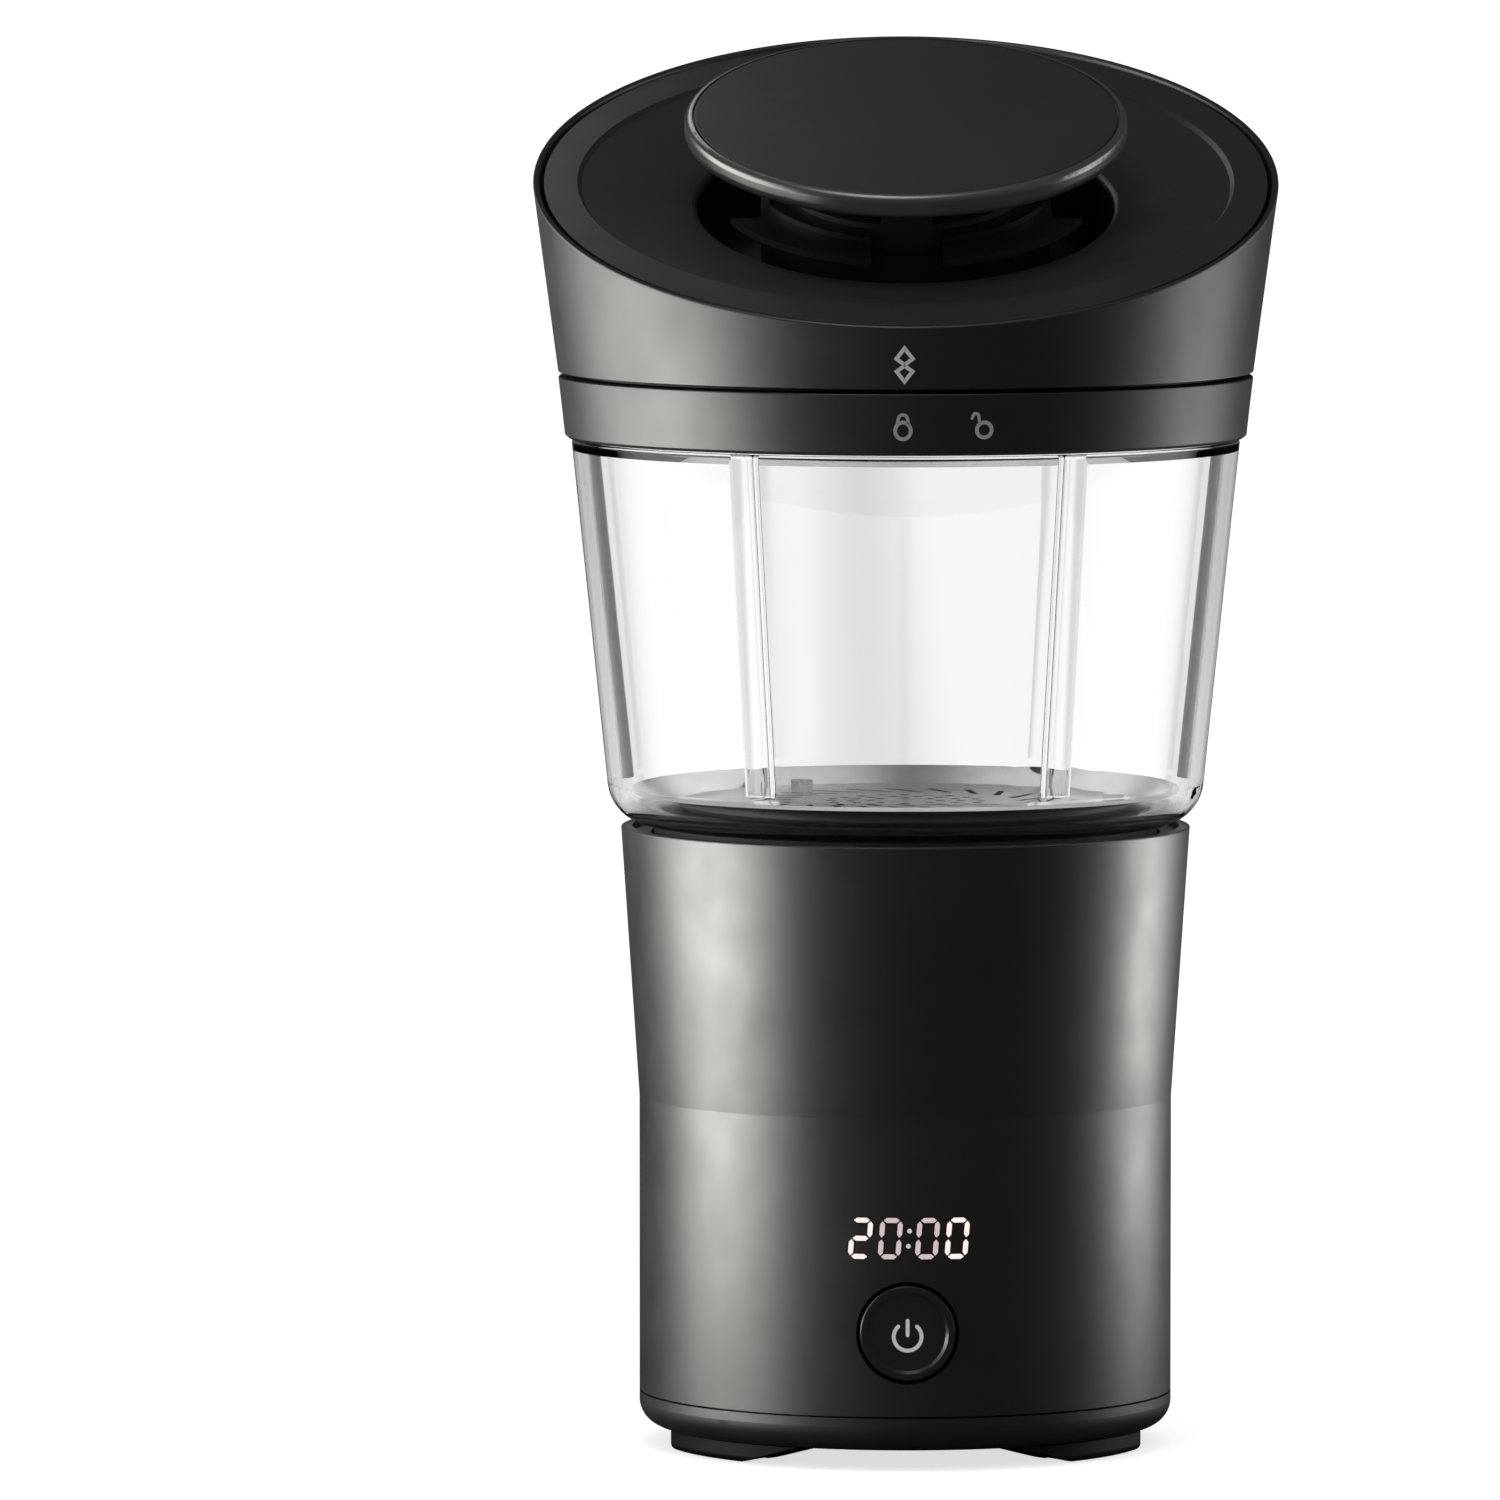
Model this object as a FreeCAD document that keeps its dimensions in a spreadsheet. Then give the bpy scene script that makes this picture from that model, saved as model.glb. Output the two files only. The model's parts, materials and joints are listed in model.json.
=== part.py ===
"""Home coffee bean roaster: base with fan and heater, glass jar, slanted twist-off lid and chaff cap.

Millimetres. +Z is up and the front faces -Y. The origin is on the base's axis, on the ground.
"""

import FreeCAD, Part
import Sketcher
import os
import re

from FreeCAD import Placement, Rotation, Vector

SIZES = {
    # Gaps between pieces
    "loose_gap": 0.3,
    "snug_gap": 0.1,
    "running_gap": 0.03,
    "post_gap": 0.05,
    # Small screws and edges shared by several pieces
    "small_screw_radius": 1.25,
    "small_head_radius": 2.2,
    "small_head_height": 1.4,
    "edge_round": 0.3,
    # Feet
    "foot_thickness": 3.8,
    "foot_inset": 3.95,
    "foot_width": 12.3,
    "foot_start": 18,
    "foot_flat_end": 47,
    "foot_end": 66,
    "foot_round": 1.4,
    "ramp_block": 10,
    "foot_recess": 3.4,
    # Base shell, tray and grille
    "base_radius": 53.25,
    "base_wall": 2.2,
    "base_top_radius": 56.9,
    "base_top": 124,
    "crease_height": 70,
    "tray_top": 10.6,
    "tray_seam": 0.4,
    "tray_floor": 2.2,
    "tray_round": 5,
    "tray_grille_ledge": 4.6,
    "tray_lip": 4,
    "grille_overhang": 2.6,
    "grille_thickness": 1.6,
    "grille_slot_inner": 9,
    "grille_border": 6.6,
    "grille_slot_width": 2.2,
    "grille_slots": 16,
    "boss_radius": 4.2,
    "boss_inset": 9.75,
    "boss_top": 26,
    "boss_rib": 3,
    "boss_rib_root": 0.8,
    "base_screw_radius": 1.5,
    "base_screw_head": 2.8,
    "base_screw_head_height": 1.8,
    "base_screw_length": 14,
    # Jar seat
    "ledge_height": 113.8,
    "ledge_thickness": 2.2,
    "ledge_radius": 49.5,
    "seat_floor": 2,
    "seat_inner_wall": 2,
    "seat_channel_gap": 0.6,
    "seat_shoulder": 122.8,
    "seat_lip_top": 121.6,
    "seal_thickness": 1.2,
    "seal_inner": 41,
    "seal_outer": 48,
    # Air duct, heater and sensors
    "duct_inset": 17.25,
    "duct_wall": 1.5,
    "duct_top": 121.2,
    "liner_bottom": 80,
    "liner_top": 118,
    "liner_wall": 0.8,
    "liner_gap": 1.2,
    "mica_bottom": 84,
    "mica_top": 116,
    "mica_inset": 11,
    "mica_foot": 4,
    "mica_thickness": 1,
    "coil_standoff": 1.7,
    "coil_wire": 1.2,
    "coil_pitch": 5,
    "coil_turns": 4,
    "coil_bottom": 91,
    "probe_height": 119.6,
    "probe_radius": 1.4,
    "probe_length": 9,
    "thermostat_radius": 7,
    "thermostat_depth": 5.4,
    "thermostat_height": 96,
    "fuse_radius": 2.2,
    "fuse_length": 14,
    # Motor and fan
    "motor_radius": 16,
    "motor_wall": 1,
    "motor_bottom": 42,
    "motor_top": 72,
    "end_cap_thickness": 2.4,
    "shaft_radius": 1.5,
    "shaft_bottom": 15.6,
    "shaft_top": 78,
    "bush_radius": 4,
    "bush_length": 4,
    "core_radius": 9.6,
    "magnet_thickness": 3.6,
    "magnet_length": 18,
    "magnet_span": 150,
    "mount_height": 45,
    "mount_thickness": 3.5,
    "mount_ring": 4,
    "mount_arm": 5,
    "shroud_height": 13.6,
    "shroud_thickness": 1.6,
    "shroud_inlet": 20,
    "impeller_clearance": 7,
    "impeller_eye": 15,
    "impeller_top": 31.6,
    "impeller_plate": 1.4,
    "blade_bottom": 17.6,
    "blade_count": 12,
    "blade_thickness": 1.2,
    "blade_lean": 35,
    "blade_inset": 3,
    "hub_radius": 5,
    "hub_lift": 1,
    "nut_radius": 3.2,
    "nut_lift": 0.4,
    # Controls
    "button_height": 27.6,
    "button_radius": 9.4,
    "button_hole": 10.2,
    "button_proud": 0.15,
    "button_depth": 3.6,
    "button_travel": 1,
    "button_skin": 1.4,
    "button_rim": 1.3,
    "button_rim_slope": 0.6,
    "button_dish": 0.5,
    "button_edge": 0.4,
    "stem_radius": 2.6,
    "guide_wall": 1.4,
    "spring_wire": 0.4,
    "spring_radius": 5.4,
    "spring_turns": 3,
    "board_standoff": 7,
    "board_half_width": 22,
    "board_bottom": 17,
    "board_top": 62,
    "board_thickness": 1.6,
    "board_screw_x": 18,
    "board_margin": 3,
    "board_post_radius": 2.4,
    "board_post_root": 1,
    "board_pilot_depth": 6,
    "board_screw_length": 5.5,
    "switch_side": 6,
    "switch_body": 3.5,
    "plunger_radius": 1.7,
    "plunger_length": 0.9,
    "display_height": 47,
    "display_width": 30,
    "display_tall": 12,
    "power_board_bottom": 50,
    "power_board_top": 104,
    "power_board_half_width": 20,
    "relay_x": -8,
    "relay_low": 86,
    "relay_width": 17,
    "relay_tall": 13,
    "transformer_x": 8,
    "transformer_low": 60,
    "transformer_width": 14,
    "transformer_tall": 16,
    "terminal_x": 10,
    "terminal_low": 88,
    "terminal_width": 12,
    "terminal_tall": 8,
    "capacitor_x": -10,
    "capacitor_low": 62,
    "capacitor_length": 12,
    "part_depth": 4.4,
    # Power inlet
    "inlet_height": 27,
    "inlet_width": 27.2,
    "inlet_tall": 19.8,
    "inlet_flange": 2,
    "inlet_flange_thickness": 2.4,
    "inlet_recess": 0.25,
    "inlet_depth": 16,
    "socket_width": 24.2,
    "socket_tall": 16.6,
    "socket_depth": 13,
    "pin_spacing": 7,
    "pin_offset": 2,
    "pin_width": 2,
    "pin_tall": 4,
    "pin_length": 12,
    # Glass jar
    "jar_bottom": 124.4,
    "jar_corner": 9,
    "jar_mouth_radius": 66.8,
    "jar_slope": 5.96,
    "glass_wall": 2.8,
    "jar_opening": 44,
    "neck_radius": 65.5,
    "neck_top": 210.5,
    "shoulder_round": 0.8,
    "neck_step_high": 0.2,
    "neck_step_low": 2,
    "rib_radius": 3.6,
    "rib_sink": 1.2,
    "rib_count": 6,
    "rib_skin": 0.6,
    "rib_head_drop": 1,
    "foot_ring_inner": 39.5,
    "foot_ring_outer": 50.3,
    "sleeve_gap": 0.3,
    "pan_seal_thickness": 1,
    "pan_thickness": 0.8,
    "pan_flat": 46,
    "pan_rim": 54.8,
    "pan_rise": 3,
    "pan_slot_circle": 27,
    "pan_slot_length": 11,
    "pan_slot_width": 1.4,
    "pan_slot_cant": 38,
    "pan_slot_count": 24,
    "pan_hole": 1,
    "pan_screw_circle": 41.6,
    "pan_pilot_depth": 8,
    "pan_screw_length": 7,
    # Collar
    "collar_bottom": 201.8,
    "collar_top": 214,
    "collar_bottom_radius": 68,
    "collar_radius": 69.4,
    "collar_flange": 2.5,
    "collar_bore": 62.2,
    "collar_bevel": 0.6,
    # Lid
    "lid_seam": 0.9,
    "lid_slope": 7.7,
    "lid_wall": 1.3,
    "rim_front": 227.2,
    "rim_back": 279.4,
    "plug_radius": 61.2,
    "plug_wall": 2.4,
    "plug_bottom": 204,
    "plug_flange_top": 219.4,
    "plug_flange_inner": 52,
    "plug_flange_wall": 1.6,
    "lug_span": 22,
    "lug_proud": 0.2,
    "lug_lift": 2,
    "lug_height": 5,
    "lid_seal_inner": 62.7,
    "lid_seal_outer": 65.9,
    "lid_seal_height": 2.4,
    "post_circle": 56,
    "post_radius": 3.2,
    "post_pilot_depth": 7,
    "lid_screw_length": 6,
    "liner_ledge": 215.8,
    "liner_thickness": 0.8,
    "liner_clearance": 0.6,
    "liner_ledge_reach": 2.4,
    "liner_ledge_thickness": 1.8,
    "liner_screw_clearance": 3,
    # Lid dish and well, measured along the slanted axis from the rim's plane
    "rim_groove": 0.9,
    "rim_round": 0.5,
    "cone_spare": 10,
    "border_drop": 0.5,
    "dish_radius": 65.6,
    "dish_step": 0.8,
    "dish_step_run": 0.8,
    "well_radius": 41.5,
    "well_drop": 5.7,
    "well_round": 1.5,
    "well_floor": 20,
    "dish_wall": 2.4,
    "post_bury": 3.8,
    # Exhaust ring
    "chimney_wall": 4,
    "chimney_bore": 25,
    "chimney_drop": 1.5,
    "chimney_depth": 60,
    "chimney_foot_reach": 4.6,
    "chimney_foot_thickness": 2,
    "flange_radius": 38,
    "flange_drop": 2.6,
    "flange_thickness": 1.4,
    "notch_width": 14.4,
    "side_notch_width": 20,
    "flange_notch_width": 30,
    "notch_depth": 5.2,
    "chimney_end": 217,
    "slot_depth": 2.2,
    "slot_span": 17,
    "slot_turn": 45,
    "slot_low": 16,
    "slot_high": 11,
    "slot_azimuth": 30,
    "keyway_span": 12,
    # Cap
    "cap_radius": 44.2,
    "cap_face": 13.4,
    "cap_thickness": 5,
    "cap_round": 2.2,
    "cap_edge": 1.5,
    "cap_pilot_depth": 2.5,
    "cap_screw_length": 2,
    "inlay_radius": 42.3,
    "inlay_thickness": 0.8,
    "groove_gap": 0.35,
    "stem_clearance": 0.4,
    "stem_wall": 2.5,
    "stem_bottom": 17,
    "hub_thickness": 3,
    "window_low": 0.4,
    "window_high": 4.6,
    "window_span": 66,
    "lug_reach": 2.3,
    "lug_slack": 3,
    "lug_gap": 0.5,
    "cap_screw_inset": 8.6,
    # Chaff basket
    "basket_clearance": 0.6,
    "basket_wall": 0.8,
    "basket_low": 29.6,
    "basket_high": 18.6,
    "basket_post": 3,
    "basket_hole": 1.4,
    "key_slack": 4,
    "key_reach": 1.8,
    "clip_radius": 5,
    "clip_thickness": 0.8,
}

# Azimuths of what repeats three or four times round an axis
THIRDS = (0, 120, 240)
CORNERS = (45, 135, 225, 315)

# Rings of round holes: each is a circle's radius and how many holes lie on it.
PAN_HOLE_RINGS = ((7, 8), (11, 14), (15, 20))
BASKET_HOLE_RINGS = ((7, 8), (12, 14), (17, 20), (21, 26))

# Sizes that follow other sizes, each written as an expression of them.
FOLLOWING = {
    "foot_outer": "base_radius - foot_inset",
    "foot_inner": "foot_outer - foot_width",
    "boss_circle": "base_radius - boss_inset",
    "duct_radius": "base_radius - duct_inset",
    "grille_radius": "duct_radius + grille_overhang",
    "grille_slot_outer": "grille_radius - grille_border",
    "tray_opening": "grille_radius - tray_grille_ledge",
    "seat_channel_outer": "foot_ring_outer + seat_channel_gap",
    "mica_half_width": "duct_radius - mica_inset",
    "coil_radius": "mica_half_width + coil_standoff",
    "impeller_radius": "duct_radius - impeller_clearance",
    "button_front": "base_radius + button_proud",
    "board_front": "duct_radius + board_standoff",
    "inlet_front": "base_radius - inlet_recess",
    "liner_hole": "chimney_bore + liner_clearance",
    "chimney_radius": "chimney_bore + chimney_wall",
    "chimney_foot": "chimney_radius + chimney_foot_reach",
    "stem_outer": "chimney_bore - stem_clearance",
    "cap_screw_circle": "stem_outer - cap_screw_inset",
    "basket_radius": "chimney_bore - basket_clearance",
}

# Derived sizes, as expressions of the sheet's cells.
LID_BOTTOM = "(collar_top + lid_seam)"
RIM_FRONT_Y = f"(collar_radius + (rim_front - {LID_BOTTOM}) * tan(lid_slope))"
RIM_BACK_Y = f"(collar_radius + (rim_back - {LID_BOTTOM}) * tan(lid_slope))"
RIM_TILT = f"atan((rim_back - rim_front) / ({RIM_FRONT_Y} + {RIM_BACK_Y}))"
RIM_MIDDLE_Y = f"(({RIM_BACK_Y} - {RIM_FRONT_Y}) / 2)"
RIM_MIDDLE_Z = "((rim_front + rim_back) / 2)"
FLARE = "((base_top_radius - base_radius) / (base_top - crease_height))"
SHELL_INNER = "(base_radius - base_wall)"
TRAY_UP = "(foot_thickness + tray_floor)"
GRILLE_TOP = f"({TRAY_UP} + grille_thickness)"
SEAT_FLOOR = "(ledge_height + seat_floor)"
SEAT_INNER = "(duct_radius + loose_gap)"
FOOT_RING_BOTTOM = f"({SEAT_FLOOR} + seal_thickness + loose_gap)"
JAR_FLOOR = "(jar_bottom + glass_wall)"
PAN_BOTTOM = f"({JAR_FLOOR} + pan_seal_thickness)"
SHOULDER = "(collar_bottom - loose_gap)"
SLEEVE = "(jar_opening - sleeve_gap)"
CHIMNEY_AXIS_Y = f"({RIM_MIDDLE_Y} + ({RIM_MIDDLE_Z} - liner_ledge) * tan({RIM_TILT}))"
CAP_UNDER = "(cap_face - cap_thickness)"
DUCT_FIT = "(duct_radius - duct_wall - snug_gap)"
LINER_OUTER = "(duct_radius - duct_wall - liner_gap)"
PLUG_INNER = "(plug_radius - plug_wall)"
CLIP_LOW = "(cap_face - cap_thickness - clip_thickness - loose_gap)"
STEM_INNER = "(stem_outer - stem_wall)"
BIG = "400"

document = FreeCAD.newDocument("CoffeeRoaster")
sheet = document.addObject("Spreadsheet::Sheet", "Sizes")
nodes = {}


def fill_sheet():
    """Write each driving size to the sheet as plain text and give its cell the size's name."""
    for row, (alias, size) in enumerate(SIZES.items(), start=1):
        sheet.set(f"A{row}", alias)
        sheet.set(f"B{row}", str(size))
        sheet.setAlias(f"B{row}", alias)
    document.recompute()


def bound(expression):
    """Point every size name in an expression at the sheet, or at the sizes that it follows."""
    def full_name(match):
        word = match.group(0)
        if word in FOLLOWING:
            return f"({bound(FOLLOWING[word])})"
        return f"Sizes.{word}" if word in SIZES else word
    return re.sub(r"[a-z_]+", full_name, str(expression))


def value(expression):
    """Return an expression's number."""
    result = sheet.evalExpression(bound(expression))
    return float(getattr(result, "Value", result))


def bind(thing, **expressions):
    """Bind properties of a document object to expressions."""
    for name, expression in expressions.items():
        thing.setExpression(name, bound(expression))


def move(thing, x="0", y="0", z="0"):
    """Bind where an object stands."""
    for name, expression in (("x", x), ("y", y), ("z", z)):
        thing.setExpression(f"Placement.Base.{name}", bound(expression))
    return thing


def turn(thing, angle, axis=Vector(0, 0, 1)):
    """Turn an object about an axis through its own origin."""
    thing.Placement = Placement(thing.Placement.Base, Rotation(axis, angle))
    return thing


def tilt(thing):
    """Stand an object on the rim's slanted plane, with its own Z as that plane's normal."""
    thing.Placement = Placement(Vector(), Rotation(Vector(1, 0, 0), 1))
    move(thing, "0", RIM_MIDDLE_Y, RIM_MIDDLE_Z)
    thing.setExpression("Placement.Rotation.Angle", bound(RIM_TILT))
    return thing


def keep(label, thing):
    """Name a finished piece and list it as a node."""
    thing.Label = label
    nodes[label] = thing
    return thing


# Sketches and bodies


def new_body(name):
    """Start a PartDesign body."""
    return document.addObject("PartDesign::Body", name)


def new_sketch(body, role, azimuth=0, lift="0"):
    """Attach a sketch to one of a body's origin planes, turned about Z or lifted off the plane."""
    plane = [feature for feature in body.Origin.OriginFeatures if feature.Role == role][0]
    sketch = body.newObject("Sketcher::SketchObject", "Sketch")
    sketch.AttachmentSupport = [(plane, "")]
    sketch.MapMode = "FlatFace"
    upright = Vector(0, 0, 1) if role == "XY_Plane" else Vector(0, 1, 0)
    sketch.AttachmentOffset = Placement(Vector(), Rotation(upright, azimuth))
    sketch.setExpression("AttachmentOffset.Base.z", bound(lift))
    return sketch


def draw_outline(sketch, points):
    """Draw a closed outline of straight lines whose corners are pairs of expressions."""
    corners = [(value(across), value(up)) for across, up in points]
    count = len(corners)
    for index in range(count):
        start = Vector(*corners[index], 0)
        end = Vector(*corners[(index + 1) % count], 0)
        sketch.addGeometry(Part.LineSegment(start, end))
    for index in range(count):
        sketch.addConstraint(Sketcher.Constraint("Coincident", index, 2, (index + 1) % count, 1))
    for index, (across, up) in enumerate(points):
        for kind, expression in (("DistanceX", across), ("DistanceY", up)):
            size = value(expression)
            place = sketch.addConstraint(Sketcher.Constraint(kind, -1, 1, index, 1, size))
            sketch.setExpression(f"Constraints[{place}]", bound(expression))


def draw_circle(sketch, across, up, radius):
    """Draw a circle whose centre and radius are expressions."""
    centre = Vector(value(across), value(up), 0)
    circle = sketch.addGeometry(Part.Circle(centre, Vector(0, 0, 1), value(radius)))
    for kind, expression in (("DistanceX", across), ("DistanceY", up)):
        place = sketch.addConstraint(Sketcher.Constraint(kind, -1, 1, circle, 3, value(expression)))
        sketch.setExpression(f"Constraints[{place}]", bound(expression))
    place = sketch.addConstraint(Sketcher.Constraint("Radius", circle, value(radius)))
    sketch.setExpression(f"Constraints[{place}]", bound(radius))


def rectangle(left, right, low, high):
    """Return a rectangle's corners."""
    return [(left, low), (right, low), (right, high), (left, high)]


def revolve(body, points, span=None, azimuth=0, cut=False):
    """Revolve an outline about Z, all round or over a span centred on an azimuth."""
    sketch = new_sketch(body, "XZ_Plane", azimuth)
    draw_outline(sketch, points)
    kind = "PartDesign::Groove" if cut else "PartDesign::Revolution"
    feature = body.newObject(kind, "Turned")
    feature.Profile = sketch
    feature.ReferenceAxis = (sketch, ["V_Axis"])
    feature.Angle = 360
    if span is not None:
        feature.Midplane = True
        bind(feature, Angle=span)
    return finish_feature(body, feature, cut)


def finish_feature(body, feature, cut):
    """Recompute a feature and stop if a cut took nothing away."""
    before = feature.BaseFeature.Shape.Volume if cut and feature.BaseFeature else None
    document.recompute()
    if cut and feature.Shape.Volume >= before - 1e-6:
        raise RuntimeError(f"{body.Name}: a cut removes nothing")
    return feature


def pad(body, role, points, length, azimuth=0, lift="0", both_ways=False, circle=None):
    """Pad an outline or a circle off a plane."""
    sketch = new_sketch(body, role, azimuth, lift)
    if circle:
        draw_circle(sketch, *circle)
    else:
        draw_outline(sketch, points)
    feature = body.newObject("PartDesign::Pad", "Pad")
    feature.Profile = sketch
    feature.Midplane = both_ways
    bind(feature, Length=length)
    return finish_feature(body, feature, False)


def pocket(body, role, points, length, azimuth=0, lift="0", circle=None, backwards=False):
    """Cut an outline or a circle from a plane, both ways unless backwards is set."""
    sketch = new_sketch(body, role, azimuth, lift)
    if circle:
        draw_circle(sketch, *circle)
    else:
        draw_outline(sketch, points)
    feature = body.newObject("PartDesign::Pocket", "Pocket")
    feature.Profile = sketch
    feature.Midplane = not backwards
    feature.Reversed = backwards
    bind(feature, Length=length)
    return finish_feature(body, feature, True)


def repeat(body, feature, count, axis="N_Axis"):
    """Repeat a feature round the body's Z axis."""
    pattern = body.newObject("PartDesign::PolarPattern", "Pattern")
    pattern.Originals = [feature]
    pattern.Axis = (feature.Profile[0], [axis])
    pattern.Angle = 360
    pattern.Occurrences = count
    body.Tip = pattern
    document.recompute()
    return pattern


def round_rings(body, radius, rings, bevel=False):
    """Round or bevel the circular edges that lie at pairs of radius and height."""
    base = body.Tip
    names = []
    for ring_radius, height in rings:
        found = [
            f"Edge{index}"
            for index, edge in enumerate(base.Shape.Edges, start=1)
            if edge.Curve.TypeId == "Part::GeomCircle"
            and abs(edge.Curve.Radius - value(ring_radius)) < 0.01
            and abs(edge.Curve.Center.z - value(height)) < 0.01
        ]
        if not found:
            raise RuntimeError(f"{body.Name}: no ring edge at {ring_radius}, {height}")
        names += found
    feature = body.newObject("PartDesign::Chamfer" if bevel else "PartDesign::Fillet", "Edge")
    feature.Base = (base, names)
    bind(feature, **{"Size" if bevel else "Radius": radius})
    document.recompute()
    return feature


def turned(label, points, span=None, azimuth=0):
    """Make a node that is one revolved outline."""
    body = new_body(label)
    revolve(body, points, span, azimuth)
    return keep(label, body)


# Primitives


def box(x_size, y_size, z_size, x="0", y="0", z="0"):
    """Make a box centred on x and y that stands on z."""
    solid = document.addObject("Part::Box", "Box")
    bind(solid, Length=x_size, Width=y_size, Height=z_size)
    return move(solid, f"{x} - ({x_size}) / 2", f"{y} - ({y_size}) / 2", z)


def rod(radius, length, x="0", y="0", z="0", axis=None):
    """Make a cylinder that starts at a point and runs along Z, or along a given axis."""
    solid = document.addObject("Part::Cylinder", "Rod")
    bind(solid, Radius=radius, Height=length)
    if axis:
        solid.Placement = Placement(Vector(), Rotation(Vector(0, 0, 1), axis))
    return move(solid, x, y, z)


def beam(angle, inner, outer, width, low, high):
    """Make a straight beam that runs outward at an angle, between two radii and two heights."""
    solid = document.addObject("Part::Box", "Beam")
    bind(solid, Length=f"{outer} - ({inner})", Width=width, Height=f"{high} - ({low})")
    turn(solid, angle)
    x = f"({inner}) * cos({angle}) + ({width}) / 2 * sin({angle})"
    y = f"({inner}) * sin({angle}) - ({width}) / 2 * cos({angle})"
    return move(solid, x, y, low)


def fuse(*parts):
    """Join solids into one."""
    joined = document.addObject("Part::MultiFuse", "Joined")
    joined.Shapes = list(parts)
    return joined


def cut_away(base, *tools):
    """Take tools away from a base."""
    result = document.addObject("Part::Cut", "Cut")
    result.Base = base
    result.Tool = tools[0] if len(tools) == 1 else fuse(*tools)
    return result


def overlap(base, tool):
    """Keep what two solids share."""
    result = document.addObject("Part::Common", "Common")
    result.Base = base
    result.Tool = tool
    return result


def together(*parts):
    """Hold separate solids in one node."""
    compound = document.addObject("Part::Compound", "Group")
    compound.Links = list(parts)
    return compound


FRONT = Vector(0, -1, 0)
BACK = Vector(0, 1, 0)
RIGHT = Vector(1, 0, 0)
LEFT = Vector(-1, 0, 0)


def around(angle, radius):
    """Return the x and y expressions of a point on a circle."""
    return f"({radius}) * cos({angle})", f"({radius}) * sin({angle})"


def mirrored(source, normal):
    """Mirror a piece across a plane through the axis."""
    copy = document.addObject("Part::Mirroring", "Mirrored")
    copy.Source = source
    copy.Normal = normal
    return copy


# Base


def make_feet():
    """Four rubber feet: ring sectors with a screw recess, each ramped up to the tray at its inner end."""
    body = new_body("foot")
    middle = value("(foot_start + foot_end) / 2")
    outline = rectangle("foot_inner", "foot_outer", "0", "foot_thickness")
    revolve(body, outline, "foot_end - foot_start", middle)
    round_rings(body, "foot_round", [("foot_outer", "0"), ("foot_inner", "0")])
    x, y = around(45, "boss_circle")
    pocket(body, "XY_Plane", None, BIG, circle=(x, y, "foot_recess"))
    ramp_length = "((foot_inner + foot_outer) / 2 * sin(foot_end - foot_flat_end))"
    slope = f"atan(foot_thickness / {ramp_length})"
    ramp = document.addObject("Part::Box", "Ramp")
    bind(ramp, Length="base_radius", Width="base_radius", Height="ramp_block")
    hinge = Rotation(Vector(0, 0, 1), value("foot_flat_end"))
    ramp.Placement = Placement(Vector(), hinge.multiply(Rotation(Vector(1, 0, 0), value(slope))))
    shift = f"ramp_block * sin({slope})"
    drop = f"-ramp_block * cos({slope})"
    move(ramp, f"-{shift} * sin(foot_flat_end)", f"{shift} * cos(foot_flat_end)", drop)
    back_right = keep("foot_back_right", cut_away(body, ramp))
    back_left = keep("foot_back_left", mirrored(back_right, RIGHT))
    keep("foot_front_right", mirrored(back_right, BACK))
    keep("foot_front_left", mirrored(back_left, BACK))


def make_tray():
    """The rounded lower ring of the base, open in the middle for the intake grille."""
    body = new_body("base_tray")
    inner = f"({SHELL_INNER} - loose_gap)"
    outline = [
        ("tray_opening", "foot_thickness"),
        ("base_radius", "foot_thickness"),
        ("base_radius", "tray_top"),
        (inner, "tray_top"),
        (inner, "tray_top + tray_lip"),
        (f"{inner} - tray_floor", "tray_top + tray_lip"),
        (f"{inner} - tray_floor", TRAY_UP),
        ("tray_opening", TRAY_UP),
    ]
    revolve(body, outline)
    round_rings(body, "tray_round", [("base_radius", "foot_thickness")])
    place = around(45, "boss_circle")
    hole = pocket(body, "XY_Plane", None, BIG, circle=(*place, "base_screw_radius + loose_gap"))
    repeat(body, hole, 4)
    keep("base_tray", body)


def make_grille():
    """The slotted intake disc that lies on the tray's floor."""
    body = new_body("intake_grille")
    revolve(body, rectangle("0", "grille_radius", TRAY_UP, GRILLE_TOP))
    half = "grille_slot_width / 2"
    long_slot = rectangle("grille_slot_inner", "grille_slot_outer", f"-{half}", half)
    slots = int(value("grille_slots"))
    repeat(body, pocket(body, "XY_Plane", long_slot, BIG), slots)
    short_start = "(grille_slot_inner + grille_slot_outer) / 2"
    short_slot = rectangle(short_start, "grille_slot_outer", f"-{half}", half)
    between = 180 / value("grille_slots")
    repeat(body, pocket(body, "XY_Plane", short_slot, BIG, azimuth=between), slots)
    keep("intake_grille", body)


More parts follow.
